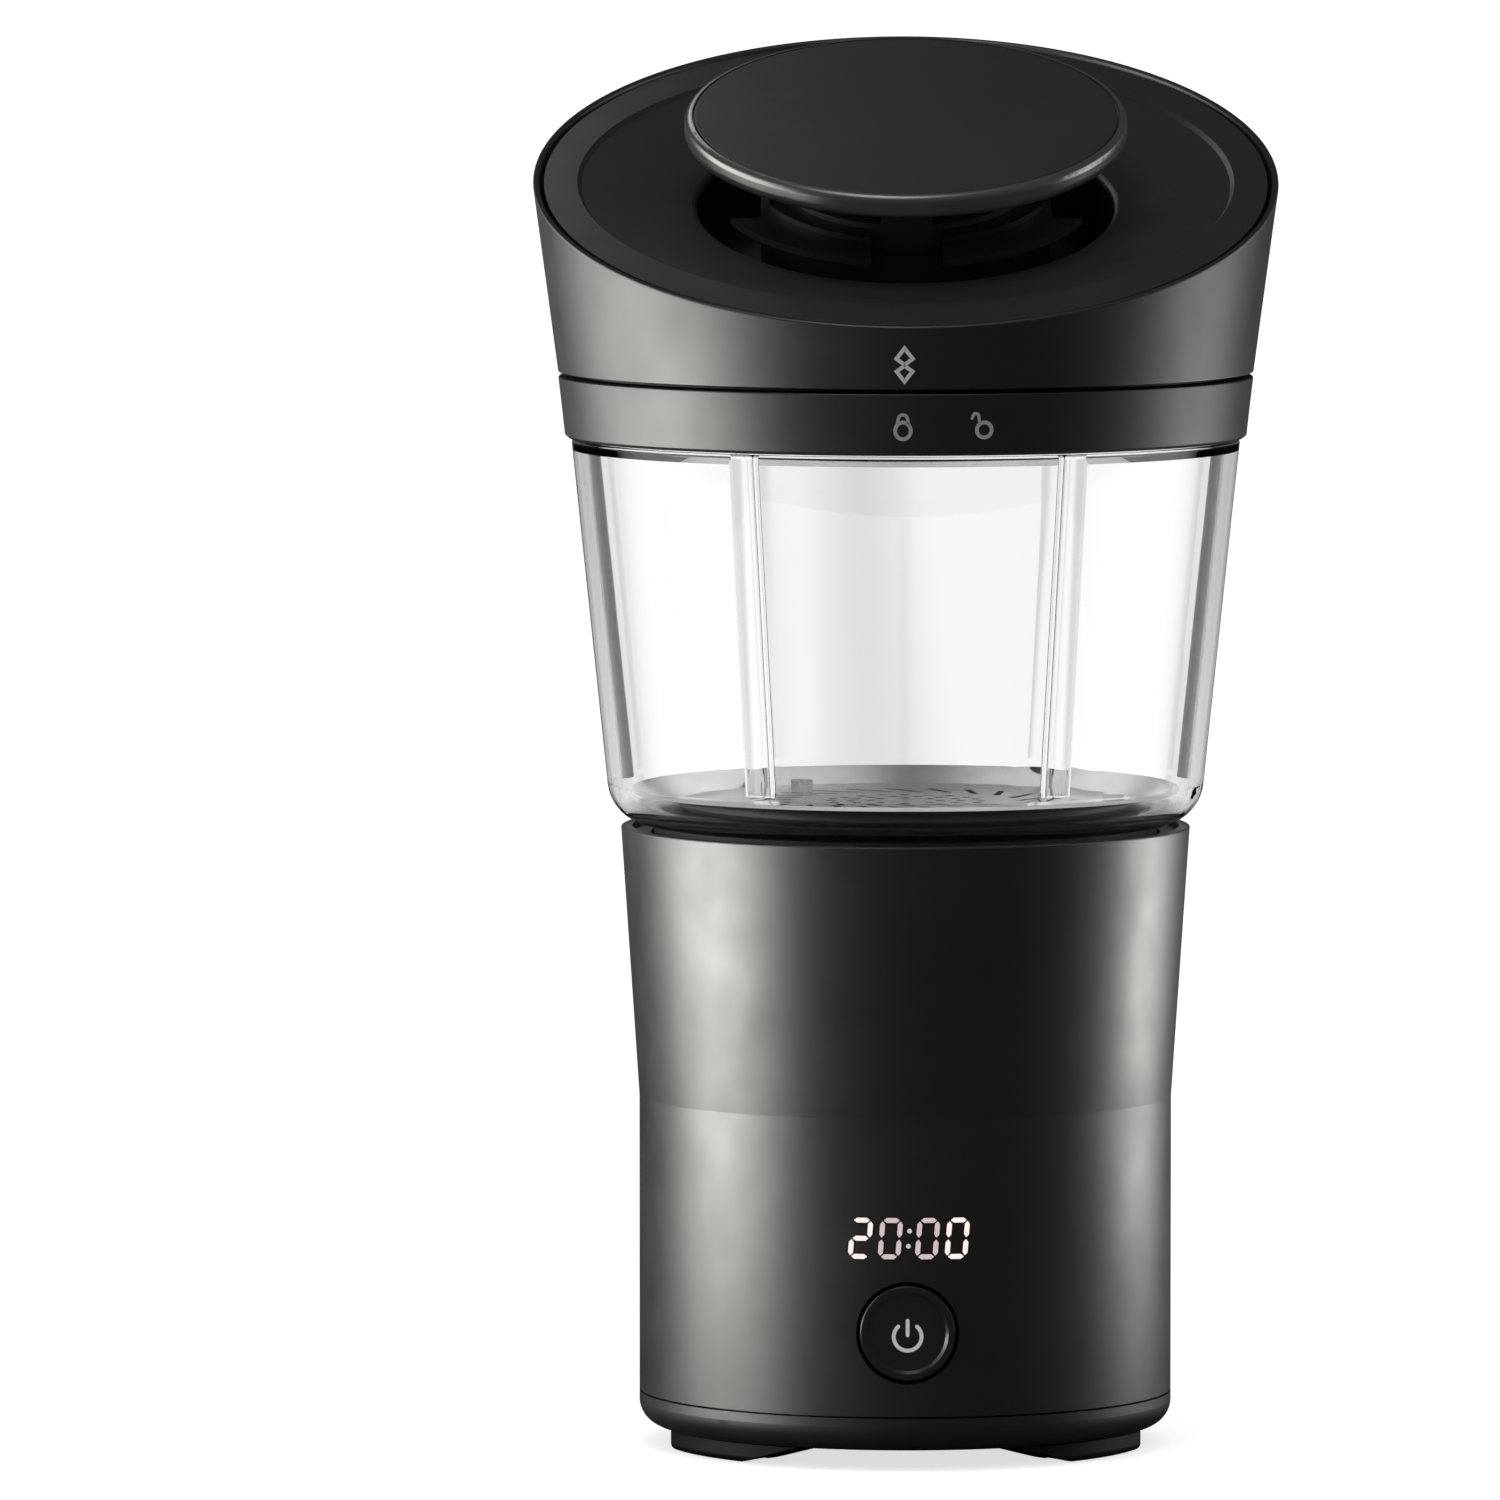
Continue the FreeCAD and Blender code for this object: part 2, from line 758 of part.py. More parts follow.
def make_base_shell():
    """The two-tier base shell, with its ledge for the jar seat, screw bosses, button hole and inlet hole."""
    body = new_body("shell")
    bottom = "tray_top + tray_seam"
    ledge_low = "ledge_height - ledge_thickness"
    inner_top = "base_top_radius - base_wall"
    inner_at = f"{SHELL_INNER} + ({{0}} - crease_height) * {FLARE}"
    outline = [
        (SHELL_INNER, bottom),
        ("base_radius", bottom),
        ("base_radius", "crease_height"),
        ("base_top_radius", "base_top"),
        (inner_top, "base_top"),
        (inner_at.format("ledge_height"), "ledge_height"),
        ("ledge_radius", "ledge_height"),
        ("ledge_radius", ledge_low),
        (inner_at.format(f"({ledge_low})"), ledge_low),
        (SHELL_INNER, "crease_height"),
    ]
    revolve(body, outline)
    round_rings(body, "edge_round", [("base_top_radius", "base_top")])
    bosses = []
    rib_low = "(tray_top + tray_lip + loose_gap)"
    for angle in CORNERS:
        x, y = around(angle, "boss_circle")
        bosses.append(rod("boss_radius", f"boss_top - {TRAY_UP}", x, y, TRAY_UP))
        rib_end = f"{SHELL_INNER} + boss_rib_root"
        bosses.append(beam(angle, "boss_circle", rib_end, "boss_rib", rib_low, "boss_top"))
    screw_holes = []
    for angle in CORNERS:
        x, y = around(angle, "boss_circle")
        screw_holes.append(rod("base_screw_radius", "boss_top", x, y))
    button_cut = rod("button_hole", BIG, z="button_height", axis=FRONT)
    edge = "(inlet_flange + loose_gap)"
    inlet_cut = box(
        f"inlet_width + 2 * {edge}", "2 * base_radius", f"inlet_tall + 2 * {edge}",
        y="base_radius", z=f"inlet_height - inlet_tall / 2 - {edge}",
    )
    shell = cut_away(fuse(body, *bosses), *screw_holes, button_cut, inlet_cut)
    keep("base_shell", shell)


def make_base_screws():
    """Four screws that hold the tray to the shell's bosses, their heads inside the feet."""
    screws = []
    for angle in CORNERS:
        x, y = around(angle, "boss_circle")
        head_low = "foot_thickness - base_screw_head_height"
        head = rod("base_screw_head", "base_screw_head_height", x, y, head_low)
        shank = rod("base_screw_radius", "base_screw_head_height + base_screw_length", x, y, head_low)
        screws.append(fuse(head, shank))
    keep("base_screws", together(*screws))


def make_jar_seat():
    """The ring that closes the base's top: a channel for the jar's foot round the air outlet."""
    outer_low = f"{SHELL_INNER} + (ledge_height - crease_height) * {FLARE} - loose_gap"
    outer_high = f"{SHELL_INNER} + (seat_shoulder - crease_height) * {FLARE} - loose_gap"
    outline = [
        (SEAT_INNER, "ledge_height"),
        (outer_low, "ledge_height"),
        (outer_high, "seat_shoulder"),
        ("seat_channel_outer", "seat_shoulder"),
        ("seat_channel_outer", SEAT_FLOOR),
        (f"{SEAT_INNER} + seat_inner_wall", SEAT_FLOOR),
        (f"{SEAT_INNER} + seat_inner_wall", "seat_lip_top"),
        (SEAT_INNER, "seat_lip_top"),
    ]
    turned("jar_seat", outline)
    seal_top = f"{SEAT_FLOOR} + seal_thickness"
    turned("seat_gasket", rectangle("seal_inner", "seal_outer", SEAT_FLOOR, seal_top))


BOARD_HOLES_FRONT = ("board_bottom + board_margin", "board_top - board_margin")
BOARD_HOLES_BACK = ("power_board_bottom + board_margin", "power_board_top - board_margin")
BOARD_REAR = "(board_front - board_thickness)"


def board_places():
    """Return where the boards' screws are: outward axis, sign of y, x and height of each."""
    places = []
    for axis, sign, heights in ((FRONT, "-", BOARD_HOLES_FRONT), (BACK, "", BOARD_HOLES_BACK)):
        for side in (-1, 1):
            for height in heights:
                places.append((axis, sign, f"{side} * board_screw_x", height))
    return places


def board_posts():
    """Return a post for each board screw, from the duct's wall to the board, and its pilot hole."""
    wall = "sqrt(duct_radius * duct_radius - board_screw_x * board_screw_x)"
    root = f"({wall} - board_post_root)"
    posts = []
    pilots = []
    for axis, sign, x, height in board_places():
        posts.append(rod("board_post_radius", f"{BOARD_REAR} - {root}", x, f"{sign}{root}", height, axis))
        floor = f"{sign}({BOARD_REAR} - board_pilot_depth)"
        pilots.append(rod("small_screw_radius", "board_pilot_depth", x, floor, height, axis))
    return posts, pilots


def make_duct():
    """The air duct round the fan, motor and heater, with posts that carry the two boards."""
    outer = rod("duct_radius", f"duct_top - {GRILLE_TOP}", z=GRILLE_TOP)
    inner = rod("duct_radius - duct_wall", "duct_top")
    probe_hole = rod("probe_radius + loose_gap", BIG, z="probe_height", axis=LEFT)
    posts, pilots = board_posts()
    keep("air_duct", cut_away(fuse(outer, *posts), inner, probe_hole, *pilots))


def make_heater():
    """Liner, two crossed mica plates and the coil of resistance wire round them."""
    liner_inner = f"({LINER_OUTER} - liner_wall)"
    body = new_body("heater_liner")
    outline = [
        (liner_inner, "liner_bottom"),
        (DUCT_FIT, "liner_bottom"),
        (DUCT_FIT, "liner_bottom + liner_wall"),
        (LINER_OUTER, "liner_bottom + liner_wall"),
        (LINER_OUTER, "liner_top"),
        (liner_inner, "liner_top"),
    ]
    revolve(body, outline)
    keep("heater_liner", body)

    foot_reach = f"({liner_inner} - loose_gap)"
    plate_outline = [
        (f"-{foot_reach}", "mica_bottom"),
        (foot_reach, "mica_bottom"),
        (foot_reach, "mica_bottom + mica_foot"),
        ("mica_half_width", "mica_bottom + mica_foot"),
        ("mica_half_width", "mica_top"),
        ("-mica_half_width", "mica_top"),
        ("-mica_half_width", "mica_bottom + mica_foot"),
        (f"-{foot_reach}", "mica_bottom + mica_foot"),
    ]
    middle = "(mica_bottom + mica_top) / 2"
    slot_half = "mica_thickness / 2 + snug_gap"
    for label, role, low, high in (
        ("mica_plate_across", "XZ_Plane", "0", middle),
        ("mica_plate_deep", "YZ_Plane", middle, BIG),
    ):
        body = new_body(label)
        pad(body, role, plate_outline, "mica_thickness", both_ways=True)
        pocket(body, role, rectangle(f"-({slot_half})", slot_half, low, high), "mica_thickness * 4")
        keep(label, body)

    wire_path = move(document.addObject("Part::Helix", "WirePath"), z="coil_bottom")
    bind(wire_path, Radius="coil_radius", Pitch="coil_pitch", Height="coil_pitch * coil_turns")
    wire = document.addObject("Part::Circle", "Wire")
    wire.Placement = Placement(Vector(), Rotation(Vector(0, 0, 1), FRONT))
    bind(move(wire, x="coil_radius", z="coil_bottom"), Radius="coil_wire")
    coil = document.addObject("Part::Sweep", "Coil")
    coil.Sections = [wire]
    coil.Spine = (wire_path, ["Edge1"])
    coil.Solid = True
    coil.Frenet = True
    keep("heater_coil", coil)


def make_sensors():
    """Thermostat and thermal fuse on the duct's sides, and the air temperature probe in its outlet."""
    can = rod("thermostat_radius", "duct_radius + thermostat_depth", z="thermostat_height", axis=RIGHT)
    duct = rod("duct_radius + post_gap", "duct_top")
    keep("thermostat", cut_away(can, duct))
    fuse_x = "-(duct_radius + fuse_radius + snug_gap)"
    keep("thermal_fuse", rod("fuse_radius", "fuse_length", fuse_x, "0", "thermostat_height"))
    probe = rod("probe_radius", "probe_length", f"-({SEAT_INNER} - snug_gap)", "0", "probe_height", RIGHT)
    keep("temperature_probe", probe)


def make_motor():
    """Motor can with bushes, magnets and end cap, and the spider that carries it in the duct."""
    bush_fit = "bush_radius + running_gap"
    body = new_body("motor_can")
    inner = "motor_radius - motor_wall"
    outline = [
        (bush_fit, "motor_bottom"),
        ("motor_radius", "motor_bottom"),
        ("motor_radius", "motor_top"),
        (inner, "motor_top"),
        (inner, "motor_bottom + motor_wall * 2"),
        (bush_fit, "motor_bottom + motor_wall * 2"),
    ]
    revolve(body, outline)
    keep("motor_can", body)
    cap_top = "motor_top + end_cap_thickness"
    turned("motor_end_cap", rectangle(bush_fit, "motor_radius", "motor_top", cap_top))

    shaft_hole = "shaft_radius + running_gap"
    bushes = []
    for low in ("motor_bottom", f"{cap_top} - bush_length"):
        ring = rod("bush_radius", "bush_length", z=low)
        bore = rod(shaft_hole, "shaft_top")
        bushes.append(cut_away(ring, bore))
    keep("motor_bushes", together(*bushes))

    magnets = []
    for azimuth in (0, 180):
        body = new_body("magnet")
        high = "(motor_bottom + motor_top + magnet_length) / 2"
        low = f"{high} - magnet_length"
        outer = f"({inner} - snug_gap)"
        outline = rectangle(f"{outer} - magnet_thickness", outer, low, high)
        revolve(body, outline, "magnet_span", azimuth)
        magnets.append(body)
    keep("motor_magnets", together(*magnets))

    ring = rod("motor_radius + mount_ring", "mount_thickness", z="mount_height")
    arms = [ring]
    mount_top = "mount_height + mount_thickness"
    for angle in (90, 210, 330):
        arms.append(beam(angle, "motor_radius", "duct_radius", "mount_arm", "mount_height", mount_top))
    inside = rod(DUCT_FIT, "duct_top")
    bore = rod("motor_radius + post_gap", "duct_top")
    keep("motor_mount", cut_away(overlap(fuse(*arms), inside), bore))


def make_fan():
    """Shaft, rotor core, impeller and its nut, which turn together, and the fixed inlet shroud."""
    keep("motor_shaft", rod("shaft_radius", "shaft_top - shaft_bottom", z="shaft_bottom"))
    core_low = "(motor_bottom + motor_top) / 2 - magnet_length / 2"
    turned("rotor_core", rectangle("shaft_radius", "core_radius", core_low, f"{core_low} + magnet_length"))

    body = new_body("impeller")
    hub_low = "blade_bottom + hub_lift"
    plate_low = "impeller_top - impeller_plate"
    outline = [
        ("shaft_radius", hub_low),
        ("hub_radius", hub_low),
        ("hub_radius", plate_low),
        ("impeller_radius", plate_low),
        ("impeller_radius", "impeller_top"),
        ("shaft_radius", "impeller_top"),
    ]
    revolve(body, outline)
    blade_length = "impeller_top - impeller_plate / 2 - blade_bottom"
    blade = pad(body, "XY_Plane", blade_outline(), blade_length, lift="blade_bottom")
    repeat(body, blade, int(value("blade_count")))
    keep("impeller", body)
    turned("impeller_nut", rectangle("shaft_radius", "nut_radius", "shaft_bottom + nut_lift", hub_low))
    shroud_top = "shroud_height + shroud_thickness"
    turned("fan_shroud", rectangle("shroud_inlet", DUCT_FIT, "shroud_height", shroud_top))


def blade_outline():
    """Return one blade's corners: a straight vane that leans back from the radial direction."""
    half = "(blade_thickness / 2)"
    lean = "(impeller_radius - impeller_eye) * tan(blade_lean)"
    tip = "(impeller_radius - blade_inset)"
    return [
        ("impeller_eye", f"-{half} + ({lean}) / 2"),
        (tip, f"-{half} - ({lean}) / 2"),
        (tip, f"{half} - ({lean}) / 2"),
        ("impeller_eye", f"{half} + ({lean}) / 2"),
    ]


# Controls and power


def board(label, front, low, high, half_width):
    """A printed board that stands on the duct's posts, with a screw hole at each post."""
    middle = "(board_front - board_thickness / 2)"
    y = f"-{middle}" if front else middle
    plate = box(f"2 * {half_width}", "board_thickness", f"{high} - {low}", y=y, z=low)
    holes = []
    facing = FRONT if front else BACK
    for axis, sign, x, height in board_places():
        if axis == facing:
            holes.append(rod("small_screw_radius + snug_gap", BIG, x, "0", height, axis))
    keep(label, cut_away(plate, *holes))


def make_boards():
    """Control board with display and switch at the front, power board with its parts at the back."""
    board("control_board", True, "board_bottom", "board_top", "board_half_width")
    board("power_board", False, "power_board_bottom", "power_board_top", "power_board_half_width")
    screws = []
    for axis, sign, x, height in board_places():
        head = rod("small_head_radius", "small_head_height", x, f"{sign}board_front", height, axis)
        tip = f"{sign}({BOARD_REAR} - board_screw_length)"
        shank_length = "board_screw_length + board_thickness + small_head_height"
        shank = rod("small_screw_radius", shank_length, x, tip, height, axis)
        screws.append(fuse(head, shank))
    keep("board_screws", together(*screws))

    display_y = "-(board_front + part_depth / 2)"
    display_z = "display_height - display_tall / 2"
    keep("display_module", box("display_width", "part_depth", "display_tall", y=display_y, z=display_z))

    switch_y = "-(board_front + switch_body / 2)"
    switch_z = "button_height - switch_side / 2"
    case = box("switch_side", "switch_body", "switch_side", y=switch_y, z=switch_z)
    plunger_reach = "switch_body + plunger_length"
    plunger = rod("plunger_radius", plunger_reach, "0", "-board_front", "button_height", FRONT)
    keep("tact_switch", fuse(case, plunger))

    y = "board_front + part_depth / 2"
    parts = [rod("part_depth / 2", "capacitor_length", "capacitor_x", y, "capacitor_low")]
    for name in ("relay", "transformer", "terminal"):
        parts.append(box(f"{name}_width", "part_depth", f"{name}_tall", f"{name}_x", y, f"{name}_low"))
    keep("power_components", together(*parts))


def make_button():
    """Push button in its guide tube, with its stem over the switch and a return spring round the stem."""
    guide_outer = "(button_hole + guide_wall)"
    guide_front = f"(sqrt({SHELL_INNER} * {SHELL_INNER} - {guide_outer} * {guide_outer}) - loose_gap)"
    guide_length = f"{guide_front} - board_front"
    tube = rod(guide_outer, guide_length, "0", "-board_front", "button_height", FRONT)
    bore = rod("button_hole", BIG, z="button_height", axis=FRONT)
    keep("button_guide", cut_away(tube, bore))

    stem_end = "(board_front + switch_body + plunger_length + button_travel + snug_gap)"
    rear = "(button_front - button_depth)"
    cap_outline = [
        ("0", stem_end),
        ("stem_radius", stem_end),
        ("stem_radius", f"{rear} + button_skin"),
        ("button_radius - button_skin", f"{rear} + button_skin"),
        ("button_radius - button_skin", rear),
        ("button_radius", rear),
        ("button_radius", "button_front"),
        ("button_radius - button_rim", "button_front"),
        ("button_radius - button_rim - button_rim_slope", "button_front - button_dish"),
        ("0", "button_front - button_dish"),
    ]
    body = new_body("power_button")
    revolve(body, cap_outline)
    round_rings(body, "button_edge", [("button_radius", "button_front")])
    body.Placement = Placement(Vector(), Rotation(Vector(0, 0, 1), FRONT))
    move(body, "0", "0", "button_height")
    keep("power_button", body)

    body = new_body("button_spring")
    spring_low = "board_front + spring_wire + snug_gap"
    sketch = new_sketch(body, "XZ_Plane")
    draw_circle(sketch, "spring_radius", spring_low, "spring_wire")
    coil = body.newObject("PartDesign::AdditiveHelix", "Coil")
    coil.Profile = sketch
    coil.ReferenceAxis = (sketch, ["V_Axis"])
    coil.Mode = 0
    spring_height = f"({rear} + button_skin - board_front - 2 * spring_wire - 2 * snug_gap)"
    bind(coil, Pitch=f"{spring_height} / spring_turns", Height=spring_height)
    document.recompute()
    body.Placement = Placement(Vector(), Rotation(Vector(0, 0, 1), FRONT))
    move(body, "0", "0", "button_height")
    keep("button_spring", body)


def make_inlet():
    """Three-pin power inlet in the back of the shell, and its pins."""
    middle = "inlet_height"
    flange_y = "inlet_front - inlet_flange_thickness / 2"
    flange_z = f"{middle} - inlet_tall / 2 - inlet_flange"
    flange = box(
        "inlet_width + 2 * inlet_flange", "inlet_flange_thickness", "inlet_tall + 2 * inlet_flange",
        y=flange_y, z=flange_z,
    )
    case_y = "inlet_front - inlet_depth / 2"
    case = box("inlet_width", "inlet_depth", "inlet_tall", y=case_y, z=f"{middle} - inlet_tall / 2")
    socket_low = f"{middle} - socket_tall / 2"
    socket = box("socket_width", "2 * socket_depth", "socket_tall", y="inlet_front", z=socket_low)
    keep("power_inlet", cut_away(fuse(flange, case), socket))
    pins = []
    floor = "inlet_front - socket_depth"
    for x, lift in (("-pin_spacing", "-pin_offset"), ("0", "pin_offset"), ("pin_spacing", "-pin_offset")):
        y = f"{floor} + pin_length / 2"
        pins.append(box("pin_width", "pin_length", "pin_tall", x, y, f"{middle} + {lift} - pin_tall / 2"))
    keep("inlet_pins", together(*pins))


# Jar


def glass_radius(height, wall="0"):
    """Return the jar's radius at a height, less a wall measured across."""
    return f"jar_mouth_radius - ({SHOULDER} - ({height})) * tan(jar_slope) - ({wall})"


def make_jar():
    """Glass jar with a rounded foot, a short neck inside the collar and six upright ribs inside."""
    body = new_body("glass")
    neck_inner = "neck_radius - glass_wall"
    neck_low = f"{SHOULDER} - neck_step_high"
    cone_top = f"{SHOULDER} - neck_step_low"
    outline = [
        ("jar_opening", "jar_bottom"),
        (glass_radius("jar_bottom"), "jar_bottom"),
        (glass_radius(SHOULDER), SHOULDER),
        ("neck_radius", SHOULDER),
        ("neck_radius", "neck_top"),
        (neck_inner, "neck_top"),
        (neck_inner, neck_low),
        (glass_radius(cone_top, "glass_wall"), cone_top),
        (glass_radius(JAR_FLOOR, "glass_wall"), JAR_FLOOR),
        ("jar_opening", JAR_FLOOR),
    ]
    revolve(body, outline)
    round_rings(body, "jar_corner", [(glass_radius("jar_bottom"), "jar_bottom")])
    inner_corner = [(glass_radius(JAR_FLOOR, "glass_wall"), JAR_FLOOR)]
    round_rings(body, "jar_corner - glass_wall", inner_corner)
    round_rings(body, "shoulder_round", [(glass_radius(SHOULDER), SHOULDER)])
    rib_foot = f"{JAR_FLOOR} + jar_corner - glass_wall"
    rib_head = f"{SHOULDER} - rib_head_drop"
    ribs = []
    for index in range(int(value("rib_count"))):
        azimuth = 360 / value("rib_count") * index
        x, y = around(azimuth, glass_radius(rib_foot, "glass_wall - rib_sink"))
        rib = rod("rib_radius", f"({rib_head} - ({rib_foot})) / cos(jar_slope)", x, y, rib_foot)
        lean = Rotation(Vector(0, 0, 1), azimuth).multiply(Rotation(BACK, value("jar_slope")))
        rib.Placement = Placement(rib.Placement.Base, lean)
        ribs.append(rib)
    outside = new_body("jar_outside")
    revolve(outside, [
        ("0", "jar_bottom"),
        (glass_radius("jar_bottom", "rib_skin"), "jar_bottom"),
        (glass_radius(SHOULDER, "rib_skin"), SHOULDER),
        ("0", SHOULDER),
    ])
    keep("jar_glass", fuse(body, overlap(fuse(*ribs), outside)))


def make_collar():
    """Collar round the jar's mouth, with its gasket on the glass."""
    body = new_body("collar")
    flange_low = "collar_top - collar_flange"
    bore = "neck_radius + loose_gap"
    outline = [
        (bore, "collar_bottom"),
        ("collar_bottom_radius", "collar_bottom"),
        ("collar_radius", "collar_top"),
        ("collar_bore", "collar_top"),
        ("collar_bore", flange_low),
        (bore, flange_low),
    ]
    revolve(body, outline)
    round_rings(body, "collar_bevel", [("collar_bottom_radius", "collar_bottom")], bevel=True)
    round_rings(body, "edge_round", [("collar_radius", "collar_top")])
    keep("collar", body)
    turned("collar_gasket", rectangle("collar_bore", "neck_radius - snug_gap", "neck_top", flange_low))


def make_jar_foot():
    """Foot ring through the jar's floor, the pan on it, their gasket and screws."""
    outline = [
        ("foot_ring_inner", FOOT_RING_BOTTOM),
        ("foot_ring_outer", FOOT_RING_BOTTOM),
        ("foot_ring_outer", "jar_bottom"),
        (SLEEVE, "jar_bottom"),
        (SLEEVE, PAN_BOTTOM),
        ("foot_ring_inner", PAN_BOTTOM),
    ]
    body = new_body("jar_foot")
    revolve(body, outline)
    pilots = pocket(
        body, "XY_Plane", None, "2 * pan_pilot_depth", lift=PAN_BOTTOM,
        circle=("pan_screw_circle", "0", "small_screw_radius"),
    )
    repeat(body, pilots, 3)
    keep("jar_foot", body)
    turned("pan_gasket", rectangle("jar_opening", "pan_flat", JAR_FLOOR, PAN_BOTTOM))

    pan_top = f"({PAN_BOTTOM} + pan_thickness)"
    body = new_body("roasting_pan")
    outline = [
        ("0", PAN_BOTTOM),
        ("pan_flat", PAN_BOTTOM),
        ("pan_rim", f"{PAN_BOTTOM} + pan_rise"),
        ("pan_rim", f"{pan_top} + pan_rise"),
        ("pan_flat", pan_top),
        ("0", pan_top),
    ]
    revolve(body, outline)
    half_length = "(pan_slot_length / 2)"
    half_width = "(pan_slot_width / 2)"
    slot = pocket(body, "XY_Plane", swirl_slot(half_length, half_width), BIG)
    repeat(body, slot, int(value("pan_slot_count")))
    for circle, count in PAN_HOLE_RINGS:
        hole = pocket(body, "XY_Plane", None, BIG, circle=(str(circle), "0", "pan_hole"))
        repeat(body, hole, count)
    screw_hole = pocket(
        body, "XY_Plane", None, BIG, circle=("pan_screw_circle", "0", "small_screw_radius + snug_gap")
    )
    repeat(body, screw_hole, 3)
    keep("roasting_pan", body)

    screws = []
    for angle in THIRDS:
        x, y = around(angle, "pan_screw_circle")
        head = rod("small_head_radius", "small_head_height", x, y, pan_top)
        shank_length = "pan_screw_length + small_head_height"
        shank = rod("small_screw_radius", shank_length, x, y, f"{pan_top} - pan_screw_length")
        screws.append(fuse(head, shank))
    keep("pan_screws", together(*screws))


def swirl_slot(half_length, half_width):
    """Return a slot's corners on the slot circle, canted so that the air leaves it in a swirl."""
    corners = []
    for along, across in ((-1, -1), (1, -1), (1, 1), (-1, 1)):
        run = f"({along} * {half_length})"
        side = f"({across} * {half_width})"
        x = f"pan_slot_circle + {run} * cos(pan_slot_cant) - {side} * sin(pan_slot_cant)"
        y = f"{run} * sin(pan_slot_cant) + {side} * cos(pan_slot_cant)"
        corners.append((x, y))
    return corners


# Lid


def lid_radius(height):
    """Return the lid's outer radius at a height."""
    return f"collar_radius + (({height}) - {LID_BOTTOM}) * tan(lid_slope)"


LID_CONE_TOP = "(rim_back + cone_spare)"


def slanted_block(low):
    """Make a wide block that stands on the slanted plane at a height above the rim's plane."""
    body = new_body("slanted_block")
    pad(body, "XY_Plane", None, BIG, circle=("0", "0", BIG), lift=low)
    return tilt(body)


def make_lid_shell():
    """The conical outer wall of the lid, its top cut by the slanted plane."""
    body = new_body("lid_wall")
    outline = [
        (f"{lid_radius(LID_BOTTOM)} - lid_wall", LID_BOTTOM),
        (lid_radius(LID_BOTTOM), LID_BOTTOM),
        (lid_radius(LID_CONE_TOP), LID_CONE_TOP),
        (f"{lid_radius(LID_CONE_TOP)} - lid_wall", LID_CONE_TOP),
    ]
    revolve(body, outline)
    round_rings(body, "edge_round", [(lid_radius(LID_BOTTOM), LID_BOTTOM)])
    cut = cut_away(body, slanted_block("0"))
    document.recompute()
    rounded = document.addObject("Part::Fillet", "Rim")
    rounded.Base = cut
    radius = value("rim_round")
    rounded.Edges = [
        (index, radius, radius)
        for index, edge in enumerate(cut.Shape.Edges, start=1)
        if edge.BoundBox.ZMax > value("rim_back - lid_wall") and edge.BoundBox.ZMin < value(RIM_MIDDLE_Z)
    ]
    keep("lid_shell", rounded)


def make_lid_dish():
    """The lid's top: a flat border, a shallow dish and a deep well, cut to fit inside the shell."""
    body = new_body("dish")
    step_low = "(border_drop + dish_step)"
    outline = [
        ("chimney_radius + loose_gap", "-well_floor"),
        ("well_radius", "-well_floor"),
        ("well_radius", "-well_drop"),
        ("dish_radius - dish_step_run", f"-{step_low}"),
        ("dish_radius", "-border_drop"),
        (BIG, "-border_drop"),
        (BIG, "-border_drop - dish_wall"),
        ("dish_radius + dish_step_run", "-border_drop - dish_wall"),
        ("dish_radius - dish_step_run", f"-{step_low} - dish_wall"),
        ("well_radius + dish_wall", "-well_drop - dish_wall"),
        ("well_radius + dish_wall", "-well_floor - dish_wall"),
        ("chimney_radius + loose_gap", "-well_floor - dish_wall"),
    ]
    revolve(body, outline)
    round_rings(body, "well_round", [("well_radius", "-well_drop")])
    tilt(body)
    inside = new_body("lid_inside")
    gap = "(lid_wall + rim_groove)"
    revolve(inside, [
        ("0", LID_BOTTOM),
        (f"{lid_radius(LID_BOTTOM)} - {gap}", LID_BOTTOM),
        (f"{lid_radius(LID_CONE_TOP)} - {gap}", LID_CONE_TOP),
        ("0", LID_CONE_TOP),
    ])
    posts = []
    for angle in CORNERS:
        x, y = around(angle, "post_circle")
        post = rod("post_radius", "rim_back - plug_flange_top", x, y, "plug_flange_top")
        pilot = rod("small_screw_radius", "post_pilot_depth", x, y, "plug_flange_top")
        posts.append(cut_away(post, pilot))
    trimmed = cut_away(fuse(*posts), slanted_block("-post_bury"))
    keep("lid_dish", fuse(overlap(body, inside), trimmed))


